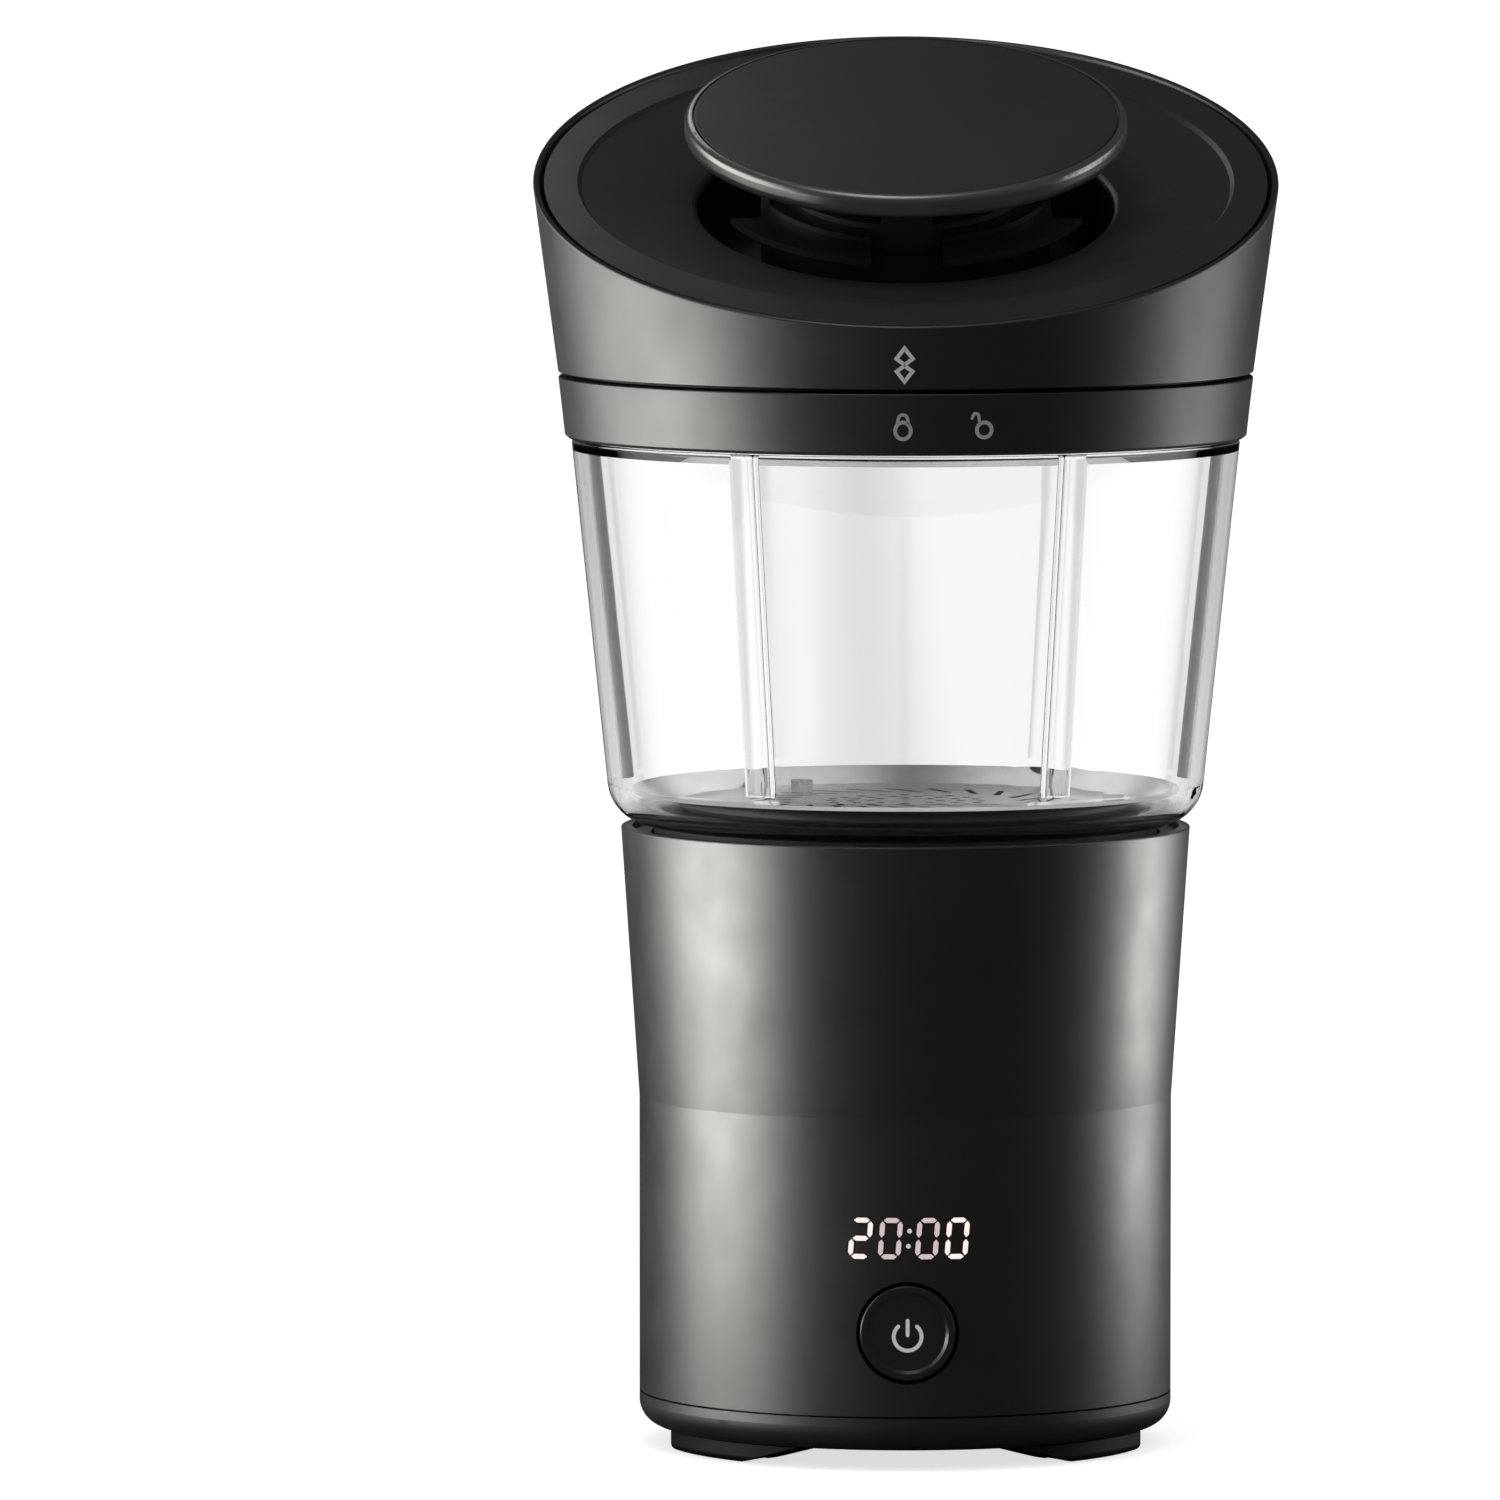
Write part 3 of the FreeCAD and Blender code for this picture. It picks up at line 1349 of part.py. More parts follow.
def make_lid_plug():
    """Plug ring under the lid, with its seal groove, lock pads, liner ledge, liner, seal and screws."""
    seal_top = "(collar_top + loose_gap + lid_seal_height)"
    flange_low = f"({LID_BOTTOM} + loose_gap)"
    step = "(plug_flange_top - plug_flange_wall)"
    ledge_low = "(liner_ledge - liner_ledge_thickness)"
    flange_outer = "collar_radius - lid_wall - loose_gap"
    body = new_body("plug")
    outline = [
        (PLUG_INNER, "plug_bottom"),
        ("plug_radius", "plug_bottom"),
        ("plug_radius", flange_low),
        ("lid_seal_inner - loose_gap", flange_low),
        ("lid_seal_inner - loose_gap", f"{seal_top} + loose_gap"),
        ("lid_seal_outer + loose_gap", f"{seal_top} + loose_gap"),
        ("lid_seal_outer + loose_gap", flange_low),
        (flange_outer, flange_low),
        (flange_outer, "plug_flange_top"),
        ("plug_flange_inner", "plug_flange_top"),
        ("plug_flange_inner", step),
        (PLUG_INNER, step),
        (PLUG_INNER, "liner_ledge"),
        (f"{PLUG_INNER} - liner_ledge_reach", "liner_ledge"),
        (f"{PLUG_INNER} - liner_ledge_reach", ledge_low),
        (PLUG_INNER, ledge_low),
    ]
    revolve(body, outline)
    lug_low = "(plug_bottom + lug_lift)"
    lug_inner = "(plug_radius - plug_wall / 2)"
    lug = rectangle(lug_inner, "plug_radius + lug_proud", lug_low, f"{lug_low} + lug_height")
    repeat_upright(body, revolve(body, lug, "lug_span", 45), 4)
    x, y = around(45, "post_circle")
    hole = pocket(body, "XY_Plane", None, BIG, lift=step, circle=(x, y, "small_screw_radius + snug_gap"))
    repeat(body, hole, 4)
    keep("lid_plug", body)

    turned("lid_gasket", rectangle("lid_seal_inner", "lid_seal_outer", "collar_top + loose_gap", seal_top))

    plate = rod(f"{PLUG_INNER} - snug_gap", "liner_thickness", z="liner_ledge")
    hole = rod("liner_hole", BIG, "0", CHIMNEY_AXIS_Y)
    clearances = []
    screws = []
    for angle in CORNERS:
        x, y = around(angle, "post_circle")
        clearances.append(rod("liner_screw_clearance", BIG, x, y))
        head_low = f"{step} - small_head_height"
        head = rod("small_head_radius", "small_head_height", x, y, head_low)
        shank_length = "small_head_height + plug_flange_wall + lid_screw_length"
        shank = rod("small_screw_radius", shank_length, x, y, head_low)
        screws.append(fuse(head, shank))
    keep("lid_liner", cut_away(plate, hole, *clearances))
    keep("lid_screws", together(*screws))


def make_exhaust_ring():
    """Chimney in the well, with a notched flange, bayonet slots for the cap and keyways for the basket."""
    body = new_body("chimney")
    outline = [
        ("chimney_bore", "-chimney_depth"),
        ("chimney_radius", "-chimney_depth"),
        ("chimney_radius", "-well_floor"),
        ("chimney_foot", "-well_floor"),
        ("chimney_foot", "-well_floor + chimney_foot_thickness"),
        ("chimney_radius", "-well_floor + chimney_foot_thickness"),
        ("chimney_radius", "-flange_drop - flange_thickness"),
        ("flange_radius", "-flange_drop - flange_thickness"),
        ("flange_radius", "-flange_drop"),
        ("chimney_radius", "-flange_drop"),
        ("chimney_radius", "-chimney_drop"),
        ("chimney_bore", "-chimney_drop"),
    ]
    revolve(body, outline)
    inside = "chimney_bore / 2"
    notches = (
        (90, "notch_width", inside),
        (0, "side_notch_width", inside),
        (0, "flange_notch_width", "chimney_radius"),
    )
    for azimuth, width, start in notches:
        notch = rectangle(start, "2 * flange_radius", f"-{width} / 2", f"{width} / 2")
        repeat(body, pocket(body, "XY_Plane", notch, "2 * notch_depth", azimuth=azimuth), 2)
    slot_outer = "chimney_bore + slot_depth"
    first = value("slot_azimuth")
    entry = rectangle(inside, slot_outer, "-slot_low", "0")
    repeat_upright(body, revolve(body, entry, "slot_span", first, cut=True), 3)
    run = rectangle(inside, slot_outer, "-slot_low", "-slot_high")
    middle = first + value("slot_turn") / 2
    repeat_upright(body, revolve(body, run, "slot_span + slot_turn", middle, cut=True), 3)
    keyway = rectangle(inside, slot_outer, "-2 * chimney_depth", "0")
    repeat_upright(body, revolve(body, keyway, "keyway_span", 0, cut=True), 2)
    tilt(body)
    keep("exhaust_ring", cut_away(body, box(BIG, BIG, "chimney_end")))


def repeat_upright(body, feature, count):
    """Repeat a revolved cut round its own axis."""
    return repeat(body, feature, count, axis="V_Axis")


# Cap and chaff basket


def make_cap():
    """Cap disc with its inlay, and the stem with air windows and bayonet lugs below it."""
    body = new_body("cap_disc")
    inlay_floor = "cap_face - inlay_thickness"
    outline = [
        ("0", CAP_UNDER),
        ("cap_radius", CAP_UNDER),
        ("cap_radius", "cap_face"),
        ("inlay_radius + groove_gap", "cap_face"),
        ("inlay_radius + groove_gap", inlay_floor),
        ("0", inlay_floor),
    ]
    revolve(body, outline)
    round_rings(body, "cap_round", [("cap_radius", CAP_UNDER)])
    round_rings(body, "cap_edge", [("cap_radius", "cap_face")])
    pilot = pocket(
        body, "XY_Plane", None, "2 * cap_pilot_depth", lift=CAP_UNDER,
        circle=("cap_screw_circle", "0", "small_screw_radius"),
    )
    repeat(body, pilot, 3)
    tilt(keep("cap_disc", body))

    inlay = new_body("cap_inlay")
    revolve(inlay, rectangle("0", "inlay_radius", inlay_floor, "cap_face"))
    round_rings(inlay, "edge_round", [("inlay_radius", "cap_face")])
    tilt(keep("cap_inlay", inlay))

    stem = new_body("cap_stem")
    hub_low = f"({CAP_UNDER} - hub_thickness)"
    bore = "basket_post + post_gap"
    pocket_radius = "clip_radius + loose_gap"
    clip_floor = f"{CLIP_LOW} - snug_gap"
    outline = [
        (bore, hub_low),
        (STEM_INNER, hub_low),
        (STEM_INNER, "-stem_bottom"),
        ("stem_outer", "-stem_bottom"),
        ("stem_outer", CAP_UNDER),
        (pocket_radius, CAP_UNDER),
        (pocket_radius, clip_floor),
        (bore, clip_floor),
    ]
    revolve(stem, outline)
    window = rectangle(f"{STEM_INNER} / 2", "2 * stem_outer", "-window_low", "window_high")
    repeat_upright(stem, revolve(stem, window, "window_span", 45, cut=True), 4)
    lug_inner = "(stem_outer - stem_wall / 2)"
    lug = rectangle(lug_inner, "stem_outer + lug_reach", "-slot_low + lug_gap", "-slot_high - lug_gap")
    repeat_upright(stem, revolve(stem, lug, "slot_span - lug_slack", value("slot_azimuth")), 3)
    hole = pocket(
        stem, "XY_Plane", None, BIG, circle=("cap_screw_circle", "0", "small_screw_radius + snug_gap")
    )
    repeat(stem, hole, 3)
    tilt(keep("cap_stem", stem))

    screws = []
    for angle in THIRDS:
        x, y = around(angle, "cap_screw_circle")
        head_low = f"{hub_low} - small_head_height"
        head = rod("small_head_radius", "small_head_height", x, y, head_low)
        shank_length = "small_head_height + hub_thickness + cap_screw_length"
        shank = rod("small_screw_radius", shank_length, x, y, head_low)
        screws.append(fuse(head, shank))
    tilt(keep("cap_screws", together(*screws)))


def make_basket():
    """Perforated chaff basket on a post, keyed to the chimney, and the clip that holds it to the cap."""
    body = new_body("chaff_basket")
    inner = "basket_radius - basket_wall"
    floor_top = "-basket_low + basket_wall"
    post_top = f"{CAP_UNDER} - snug_gap"
    outline = [
        ("0", "-basket_low"),
        ("basket_radius", "-basket_low"),
        ("basket_radius", "-basket_high"),
        (inner, "-basket_high"),
        (inner, floor_top),
        ("basket_post", floor_top),
        ("basket_post", post_top),
        ("0", post_top),
    ]
    revolve(body, outline)
    key_inner = "basket_radius - basket_wall / 2"
    key = rectangle(key_inner, "basket_radius + key_reach", "-basket_low", "-basket_high")
    repeat_upright(body, revolve(body, key, "keyway_span - key_slack"), 2)
    for circle, count in BASKET_HOLE_RINGS:
        hole = pocket(
            body, "XY_Plane", None, "4 * basket_wall", lift="-basket_low",
            circle=(str(circle), "0", "basket_hole"),
        )
        repeat(body, hole, count)
    tilt(keep("chaff_basket", body))
    clip = new_body("basket_clip")
    revolve(clip, rectangle("basket_post", "clip_radius", CLIP_LOW, f"{CLIP_LOW} + clip_thickness"))
    tilt(keep("basket_clip", clip))


def check_document():
    """Stop if any object failed or any node has no valid shape."""
    document.recompute()
    for thing in document.Objects:
        bad = [state for state in thing.State if state in ("Invalid", "Error")]
        if bad:
            raise RuntimeError(f"{thing.Label}: {bad}")
    for label, thing in nodes.items():
        if thing.Shape.isNull() or not thing.Shape.isValid() or not thing.Shape.Solids:
            raise RuntimeError(f"{label}: no valid shape")


def write_parts():
    """Write each node to its own STEP file."""
    os.makedirs("parts", exist_ok=True)
    for label, thing in nodes.items():
        thing.Shape.exportStep(f"parts/{label}.step")


def main():
    """Build every piece, check the document and write the parts."""
    fill_sheet()
    make_feet()
    make_tray()
    make_grille()
    make_base_shell()
    make_base_screws()
    make_jar_seat()
    make_duct()
    make_heater()
    make_sensors()
    make_motor()
    make_fan()
    make_boards()
    make_button()
    make_inlet()
    make_jar()
    make_collar()
    make_jar_foot()
    make_lid_shell()
    make_lid_dish()
    make_lid_plug()
    make_exhaust_ring()
    make_cap()
    make_basket()
    check_document()
    write_parts()


main()
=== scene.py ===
"""Looks for a worktop coffee bean roaster: its finishes, printed marks, lit digits and studio.

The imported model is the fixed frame. Sizes are written in millimetres, and MM turns them to metres.
Front is -Y, up is +Z, and the roaster's axis is the Z axis.
"""

import json
import logging
import math
from dataclasses import dataclass
from enum import Enum
from functools import cache
from typing import Any, ClassVar, Protocol

import bmesh
import bpy
from bmesh.types import BMesh
from bpy.types import Light, Material, Node, Object
from bpy.types import NodeSocket as Socket
from bpy.types import NodeTree as Tree
from mathutils import Matrix, Vector
from mathutils.bvhtree import BVHTree


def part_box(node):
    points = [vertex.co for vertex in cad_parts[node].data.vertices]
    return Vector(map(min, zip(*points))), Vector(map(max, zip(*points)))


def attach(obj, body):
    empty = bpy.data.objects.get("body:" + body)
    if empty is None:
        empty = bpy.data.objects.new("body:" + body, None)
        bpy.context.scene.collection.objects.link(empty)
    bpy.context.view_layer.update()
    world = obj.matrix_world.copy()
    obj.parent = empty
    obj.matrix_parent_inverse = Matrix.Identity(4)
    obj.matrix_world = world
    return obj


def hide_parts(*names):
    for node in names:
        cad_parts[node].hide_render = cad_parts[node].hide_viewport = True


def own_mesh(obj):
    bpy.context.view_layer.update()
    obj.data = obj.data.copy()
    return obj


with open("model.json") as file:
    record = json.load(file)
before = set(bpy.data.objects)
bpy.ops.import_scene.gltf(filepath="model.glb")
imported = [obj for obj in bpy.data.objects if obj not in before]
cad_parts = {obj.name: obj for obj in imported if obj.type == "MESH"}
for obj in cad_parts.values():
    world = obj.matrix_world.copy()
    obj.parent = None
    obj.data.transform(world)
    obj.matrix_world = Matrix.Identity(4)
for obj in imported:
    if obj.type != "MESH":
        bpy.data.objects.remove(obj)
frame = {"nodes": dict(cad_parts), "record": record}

MM = 0.001
LOG = logging.getLogger("roaster")

# A noise seldom leaves this range, so the range is what gets stretched onto the values that are wanted.
NOISE_LOW = 0.3
NOISE_HIGH = 0.7

# A mix node's sockets share their names, so they are called by number.
NUMBER_A = 2
NUMBER_B = 3
COLOUR_A = 6
COLOUR_B = 7
COLOUR_OUT = 2

# How far apart the points of an arc lie, in degrees, and the fewest steps that one has.
ARC_STEP = 8.0
FEWEST_STEPS = 6

Point = tuple[float, float]

# A brightness, and how far out to the side it holds.
Stop = tuple[float, float]

# One end of a digit's bar: its side, -1 or 1, and its level, from -1 at the foot to 1 at the top.
Corner = tuple[int, int]


class Body(str, Enum):
    """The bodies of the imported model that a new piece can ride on."""

    BASE = "base"
    BUTTON = "button"
    JAR = "jar"
    LID = "lid"


class EndShape(Enum):
    """How a printed or lit stroke ends."""

    ROUND = "round"
    POINTED = "pointed"


# ---------------------------------------------------------------- helpers


def linear(colour: str) -> tuple[float, float, float, float]:
    """Turns an sRGB hex colour to the linear values that a shader takes.

    Args:
        colour: the colour, such as "#1c1c1e".

    Returns:
        Red, green and blue, each from 0 to 1, and an alpha of 1.
    """
    parts = [int(colour[i:i + 2], 16) / 255 for i in (1, 3, 5)]
    red, green, blue = [p / 12.92 if p <= 0.04045 else ((p + 0.055) / 1.055) ** 2.4 for p in parts]
    return red, green, blue, 1.0


def object_from(mesh: BMesh, name: str) -> Object:
    """Turns a finished mesh into an object of the scene.

    Args:
        mesh: the mesh, which is freed.
        name: the object's name.

    Returns:
        The new object.
    """
    data = bpy.data.meshes.new(name)
    mesh.to_mesh(data)
    mesh.free()
    piece = bpy.data.objects.new(name, data)
    bpy.context.scene.collection.objects.link(piece)
    return piece


def add_node(
    tree: Tree,
    kind: str,
    settings: dict[Any, Any] | None = None,
    links: dict[Any, Socket] | None = None,
) -> Node:
    """Adds one shader node with its settings and links.

    Args:
        tree: the node tree that takes it.
        kind: the node's type, such as "ShaderNodeBump".
        settings: values for input sockets, by name or number, and for the node's own properties.
        links: the output socket that feeds each input socket, by name or number.

    Returns:
        The new node.
    """
    node = tree.nodes.new(kind)
    for name, value in (settings or {}).items():
        if isinstance(name, int) or name in node.inputs:
            node.inputs[name].default_value = value
        else:
            setattr(node, name, value)
    for name, source in (links or {}).items():
        tree.links.new(source, node.inputs[name])
    return node


def empty_material(name: str) -> tuple[Material, Tree, Node]:
    """Makes a material with no shader yet.

    Args:
        name: the material's name.

    Returns:
        The material, its node tree and its output node.
    """
    material = bpy.data.materials.new(name)
    material.use_nodes = True
    tree = material.node_tree
    tree.nodes.clear()
    return material, tree, add_node(tree, "ShaderNodeOutputMaterial")


def place_in_mm(tree: Tree) -> Socket:
    """Gives the point being shaded, in millimetres in the piece's own frame.

    Args:
        tree: the node tree that uses it.

    Returns:
        The vector socket with the point.
    """
    place = add_node(tree, "ShaderNodeTexCoord").outputs["Object"]
    scaled = add_node(tree, "ShaderNodeVectorMath", {"operation": "SCALE", "Scale": 1 / MM}, {0: place})
    return scaled.outputs["Vector"]


def patches(
    tree: Tree, place: Socket, size_mm: float, low: float = 0.0, high: float = 1.0, detail: float = 2.0
) -> Socket:
    """Adds a value that drifts between low and high in soft patches of a real size.

    Args:
        tree: the node tree that uses it.
        place: the point in millimetres.
        size_mm: the width of a patch.
        low: what the darkest patches give.
        high: what the lightest patches give.
        detail: how many finer layers lie over the first.

    Returns:
        The socket with the value.
    """
    cloud = add_node(tree, "ShaderNodeTexNoise", {"Scale": 1 / size_mm, "Detail": detail}, {"Vector": place})
    settings = {"From Min": NOISE_LOW, "From Max": NOISE_HIGH, "To Min": low, "To Max": high}
    return add_node(tree, "ShaderNodeMapRange", settings, {"Value": cloud.outputs["Fac"]}).outputs["Result"]


def two_tones(tree: Tree, place: Socket, size_mm: float, colour: str, tone: str) -> Socket:
    """Adds a colour that drifts between two tones in soft patches of a real size.

    Args:
        tree: the node tree that uses it.
        place: the point in millimetres.
        size_mm: the width of a patch.
        colour: the first tone.
        tone: the second tone.

    Returns:
        The socket with the colour.
    """
    settings = {"data_type": "RGBA", COLOUR_A: linear(colour), COLOUR_B: linear(tone)}
    mixed = add_node(tree, "ShaderNodeMix", settings, {"Factor": patches(tree, place, size_mm)})
    return mixed.outputs[COLOUR_OUT]


def relief(
    tree: Tree, place: Socket, size_mm: float, height_mm: float, strength: float = 1.0, detail: float = 1.0
) -> Socket:
    """Adds an uneven surface whose bumps are of a real size and height.

    Args:
        tree: the node tree that uses it.
        place: the point in millimetres.
        size_mm: the width of a bump.
        height_mm: the height of a bump.
        strength: how much of the relief counts.
        detail: how many finer layers lie over the first.

    Returns:
        The socket with the surface's direction.
    """
    bumps = add_node(tree, "ShaderNodeTexNoise", {"Scale": 1 / size_mm, "Detail": detail}, {"Vector": place})
    settings = {"Strength": strength, "Distance": height_mm * MM}
    return add_node(tree, "ShaderNodeBump", settings, {"Height": bumps.outputs["Fac"]}).outputs["Normal"]


# ---------------------------------------------------------------- finishes


class Finish(Protocol):
    """Anything that can make one material."""

    name: str

    def build(self) -> Material:
        """Makes the material."""


@dataclass(frozen=True)
class MouldedPlastic:
    """A plastic or rubber moulding, plain or sprayed, whose fine grain breaks up the light.

    The grain is the texture of the mould or the mist of the spray. Real grain is 0.05 to 0.2 mm, too fine
    to show, so grain_mm draws it coarser. The tone and the gloss drift slowly over the piece, as they do on
    a real moulding that has been handled.
    """

    name: str
    colour: str
    tone: str
    roughness: float
    drift: float = 0.03
    metallic: float = 0.0
    ior: float = 1.5
    specular: float = 0.5
    grain_mm: float = 0.35
    grain_height_mm: float = 0.004
    tone_size_mm: float = 24.0
    gloss_detail: float = 4.0

    def build(self) -> Material:
        """Makes the material.

        Returns:
            The new material.
        """
        material, tree, output = empty_material(self.name)
        place = place_in_mm(tree)
        low = self.roughness - self.drift
        high = self.roughness + self.drift
        shader = add_node(
            tree,
            "ShaderNodeBsdfPrincipled",
            {"Metallic": self.metallic, "IOR": self.ior, "Specular IOR Level": self.specular},
            {
                "Base Color": two_tones(tree, place, self.tone_size_mm, self.colour, self.tone),
                "Roughness": patches(tree, place, self.tone_size_mm / 2, low, high, self.gloss_detail),
                "Normal": relief(tree, place, self.grain_mm, self.grain_height_mm),
            },
        )
        tree.links.new(shader.outputs[0], output.inputs[0])
        return material


@dataclass(frozen=True)
class TurnedMetal:
    """Metal with the fine rings that spinning, polishing or a lathe leaves round the upright axis.

    The rings stretch a highlight across them, which is what the eye reads as machined metal. Real rings lie
    about 0.1 mm apart, too fine to show, so ring_mm draws them coarser.
    """

    name: str
    colour: str
    tone: str
    roughness: float
    drift: float = 0.2
    patch_mm: float = 12.0
    ring_mm: float = 0.6
    ring_height_mm: float = 0.002
    ring_strength: float = 0.6
    ring_detail: float = 3.0

    def build(self) -> Material:
        """Makes the material.

        Returns:
            The new material.
        """
        material, tree, output = empty_material(self.name)
        place = place_in_mm(tree)
        low = self.roughness * (1 - self.drift)
        high = self.roughness * (1 + self.drift)
        shader = add_node(
            tree,
            "ShaderNodeBsdfPrincipled",
            {"Metallic": 1.0},
            {
                "Base Color": two_tones(tree, place, self.patch_mm, self.colour, self.tone),
                "Roughness": patches(tree, place, self.patch_mm, low, high),
                "Normal": self.rings(tree, place),
            },
        )
        tree.links.new(shader.outputs[0], output.inputs[0])
        return material

    def rings(self, tree: Tree, place: Socket) -> Socket:
        """Adds the rings that the tool left.

        Args:
            tree: the node tree that uses them.
            place: the point in millimetres.

        Returns:
            The socket with the surface's direction.
        """
        level = {"operation": "MULTIPLY", 1: (1.0, 1.0, 0.0)}
        flat = add_node(tree, "ShaderNodeVectorMath", level, {0: place})
        radius = add_node(tree, "ShaderNodeVectorMath", {"operation": "LENGTH"}, {0: flat.outputs[0]})
        grooves = add_node(
            tree,
            "ShaderNodeTexNoise",
            {"noise_dimensions": "1D", "Scale": 1 / self.ring_mm, "Detail": self.ring_detail},
            {"W": radius.outputs["Value"]},
        )
        settings = {"Strength": self.ring_strength, "Distance": self.ring_height_mm * MM}
        bump = add_node(tree, "ShaderNodeBump", settings, {"Height": grooves.outputs["Fac"]})
        return bump.outputs["Normal"]


@dataclass(frozen=True)
class PressedGlass:
    """Clear borosilicate glass, pressed in a mould and fire polished.

    It is slightly wavy, which bends what lies behind it, and it lets lamplight through to what it holds.
    """

    name: str
    colour: str = "#fdfdfd"
    ior: float = 1.473
    wave_mm: float = 38.0
    wave_height_mm: float = 0.12
    wave_strength: float = 0.5
    lamplight: str = "#f4f4f4"

    def build(self) -> Material:
        """Makes the material.

        Returns:
            The new material.
        """
        material, tree, output = empty_material(self.name)
        place = place_in_mm(tree)
        waves = relief(tree, place, self.wave_mm, self.wave_height_mm, self.wave_strength, detail=0.0)
        glass = add_node(
            tree,
            "ShaderNodeBsdfPrincipled",
            {
                "Base Color": linear(self.colour),
                "Roughness": 0.0,
                "IOR": self.ior,
                "Transmission Weight": 1.0,
            },
            {"Normal": waves},
        )
        clear = add_node(tree, "ShaderNodeBsdfTransparent", {"Color": linear(self.lamplight)})
        lamp_ray = add_node(tree, "ShaderNodeLightPath").outputs["Is Shadow Ray"]
        either = {0: lamp_ray, 1: glass.outputs[0], 2: clear.outputs[0]}
        mixed = add_node(tree, "ShaderNodeMixShader", None, either)
        tree.links.new(mixed.outputs[0], output.inputs[0])
        return material


@dataclass(frozen=True)
class PrintedInk:
    """Pad-printed ink: matt, very thin, with the faint mottle of the pad, drawn coarser than its 0.1 mm."""

    name: str
    colour: str
    tone: str
    mottle_mm: float = 0.4
    roughness: float = 0.55
    ior: float = 1.5

    def build(self) -> Material:
        """Makes the material.

        Returns:
            The new material.
        """
        material, tree, output = empty_material(self.name)
        shader = add_node(
            tree,
            "ShaderNodeBsdfPrincipled",
            {"Roughness": self.roughness, "IOR": self.ior},
            {"Base Color": two_tones(tree, place_in_mm(tree), self.mottle_mm, self.colour, self.tone)},
        )
        tree.links.new(shader.outputs[0], output.inputs[0])
        return material


@dataclass(frozen=True)
class LitDiffuser:
    """A light-emitting segment behind a mottled diffuser film, which is dark where nothing lights it."""

    name: str
    colour: str
    tone: str
    strength: float
    film_colour: str = "#101010"
    film_roughness: float = 0.4
    mottle_mm: float = 0.8

    def build(self) -> Material:
        """Makes the material.

        Returns:
            The new material.
        """
        material, tree, output = empty_material(self.name)
        shader = add_node(
            tree,
            "ShaderNodeBsdfPrincipled",
            {
                "Base Color": linear(self.film_colour),
                "Roughness": self.film_roughness,
                "Emission Strength": self.strength,
            },
            {"Emission Color": two_tones(tree, place_in_mm(tree), self.mottle_mm, self.colour, self.tone)},
        )
        tree.links.new(shader.outputs[0], output.inputs[0])
        return material


# Metallic paint on ABS: its flakes turn a lamp into a broad soft sheen that falls off to near black.
SATIN_BLACK = MouldedPlastic("ABS, sprayed satin metallic black", "#5d5d5b", "#575755", 0.43, metallic=0.9)
# Bare ABS with a fine mould grain: near black, with only a wide dull gleam where it faces a lamp.
DISH_BLACK = MouldedPlastic("ABS, moulded with a fine matt grain", "#2b2b2a", "#272726", 0.42)
# A satin metallic moulding: its rounded rim gathers a lamp into one thin bright line.
CAP_BLACK = MouldedPlastic("ABS, moulded satin", "#82827e", "#7a7a76", 0.3, metallic=0.8)
# Half gloss: thin arcs of light on the edges pick the ring out of the dark well.
RING_BLACK = MouldedPlastic("ABS, moulded half gloss", "#2c2c2b", "#282827", 0.4, metallic=0.4)
# A matt inlay: a quiet dark face across which light fades slowly.
INLAY_BLACK = MouldedPlastic("ABS inlay, moulded matt", "#29292a", "#252526", 0.5, grain_mm=0.5)
# PPS that stands the heater: dull, and a touch browner than the ABS outside.
INNER_BLACK = MouldedPlastic("PPS, moulded heat resistant", "#2c2b2a", "#272625", 0.55, grain_mm=0.6)
# ABS that fingers polish: a dark face whose edges catch soft crescents of light.
BUTTON_BLACK = MouldedPlastic(
    "ABS, moulded with a soft gloss", "#252526", "#212122", 0.34, grain_height_mm=0.002
)
# Epoxy and nylon bodies: small dark blocks with dull highlights.
COMPONENT_BLACK = MouldedPlastic("epoxy and nylon of components", "#1a1a1c", "#202022", 0.42)
# EPDM soaks light up: nearly black, with hardly a gleam.
RUBBER = MouldedPlastic("EPDM rubber, moulded matt", "#101010", "#0d0d0d", 0.55, specular=0.12, grain_mm=0.8)
# Silicone is a little greyer and glossier than rubber, as if faintly dusty.
SILICONE = MouldedPlastic("silicone rubber, moulded black", "#1b1b1b", "#171717", 0.5, grain_mm=1.2)
# A lacquer over glass cloth and copper: deep green under a smooth shine.
SOLDER_MASK = MouldedPlastic("circuit board under solder mask", "#12402a", "#0f3522", 0.35, tone_size_mm=3.0)
# Split mineral layers: a golden patchwork, glossy here and dull there.
MICA = MouldedPlastic("mica sheet, cut", "#b09a6c", "#8f7c55", 0.4, drift=0.1, grain_mm=1.5, tone_size_mm=5.0)
# A fired and ground ceramic magnet: stony dark grey with no shine.
FERRITE = MouldedPlastic("ferrite, sintered and ground", "#3a3a3c", "#2f2f31", 0.6, grain_mm=0.5)
# Spun and polished steel: it mirrors lamps and dark in turn, drawn out across faint rings.
STEEL = TurnedMetal("stainless steel, spun and polished", "#c9c8c6", "#bdbcba", 0.14)
# Zinc plating: pale, slightly blue and softly bright.
ZINC = TurnedMetal("steel, zinc plated", "#b4b8bd", "#a3a6a8", 0.28, ring_mm=0.4)
# Stacked sheet iron: dull mid grey.
IRON = TurnedMetal("iron laminations, stacked", "#6a6a6c", "#57575a", 0.45)
# Porous bronze that holds oil: warm, brown and dull.
BRONZE = TurnedMetal("bronze, sintered", "#a77c45", "#8f6a3c", 0.42)
# Wire that has glowed: brownish grey over a dim metal shine.
NICKEL = TurnedMetal("nickel-chrome wire, drawn and heat tinted", "#8f867d", "#7a6a5e", 0.35)
# Tin over brass: bright, with a little warmth from below.
TINNED = TurnedMetal("brass, tin plated", "#c8c4b8", "#b6b2a6", 0.22)
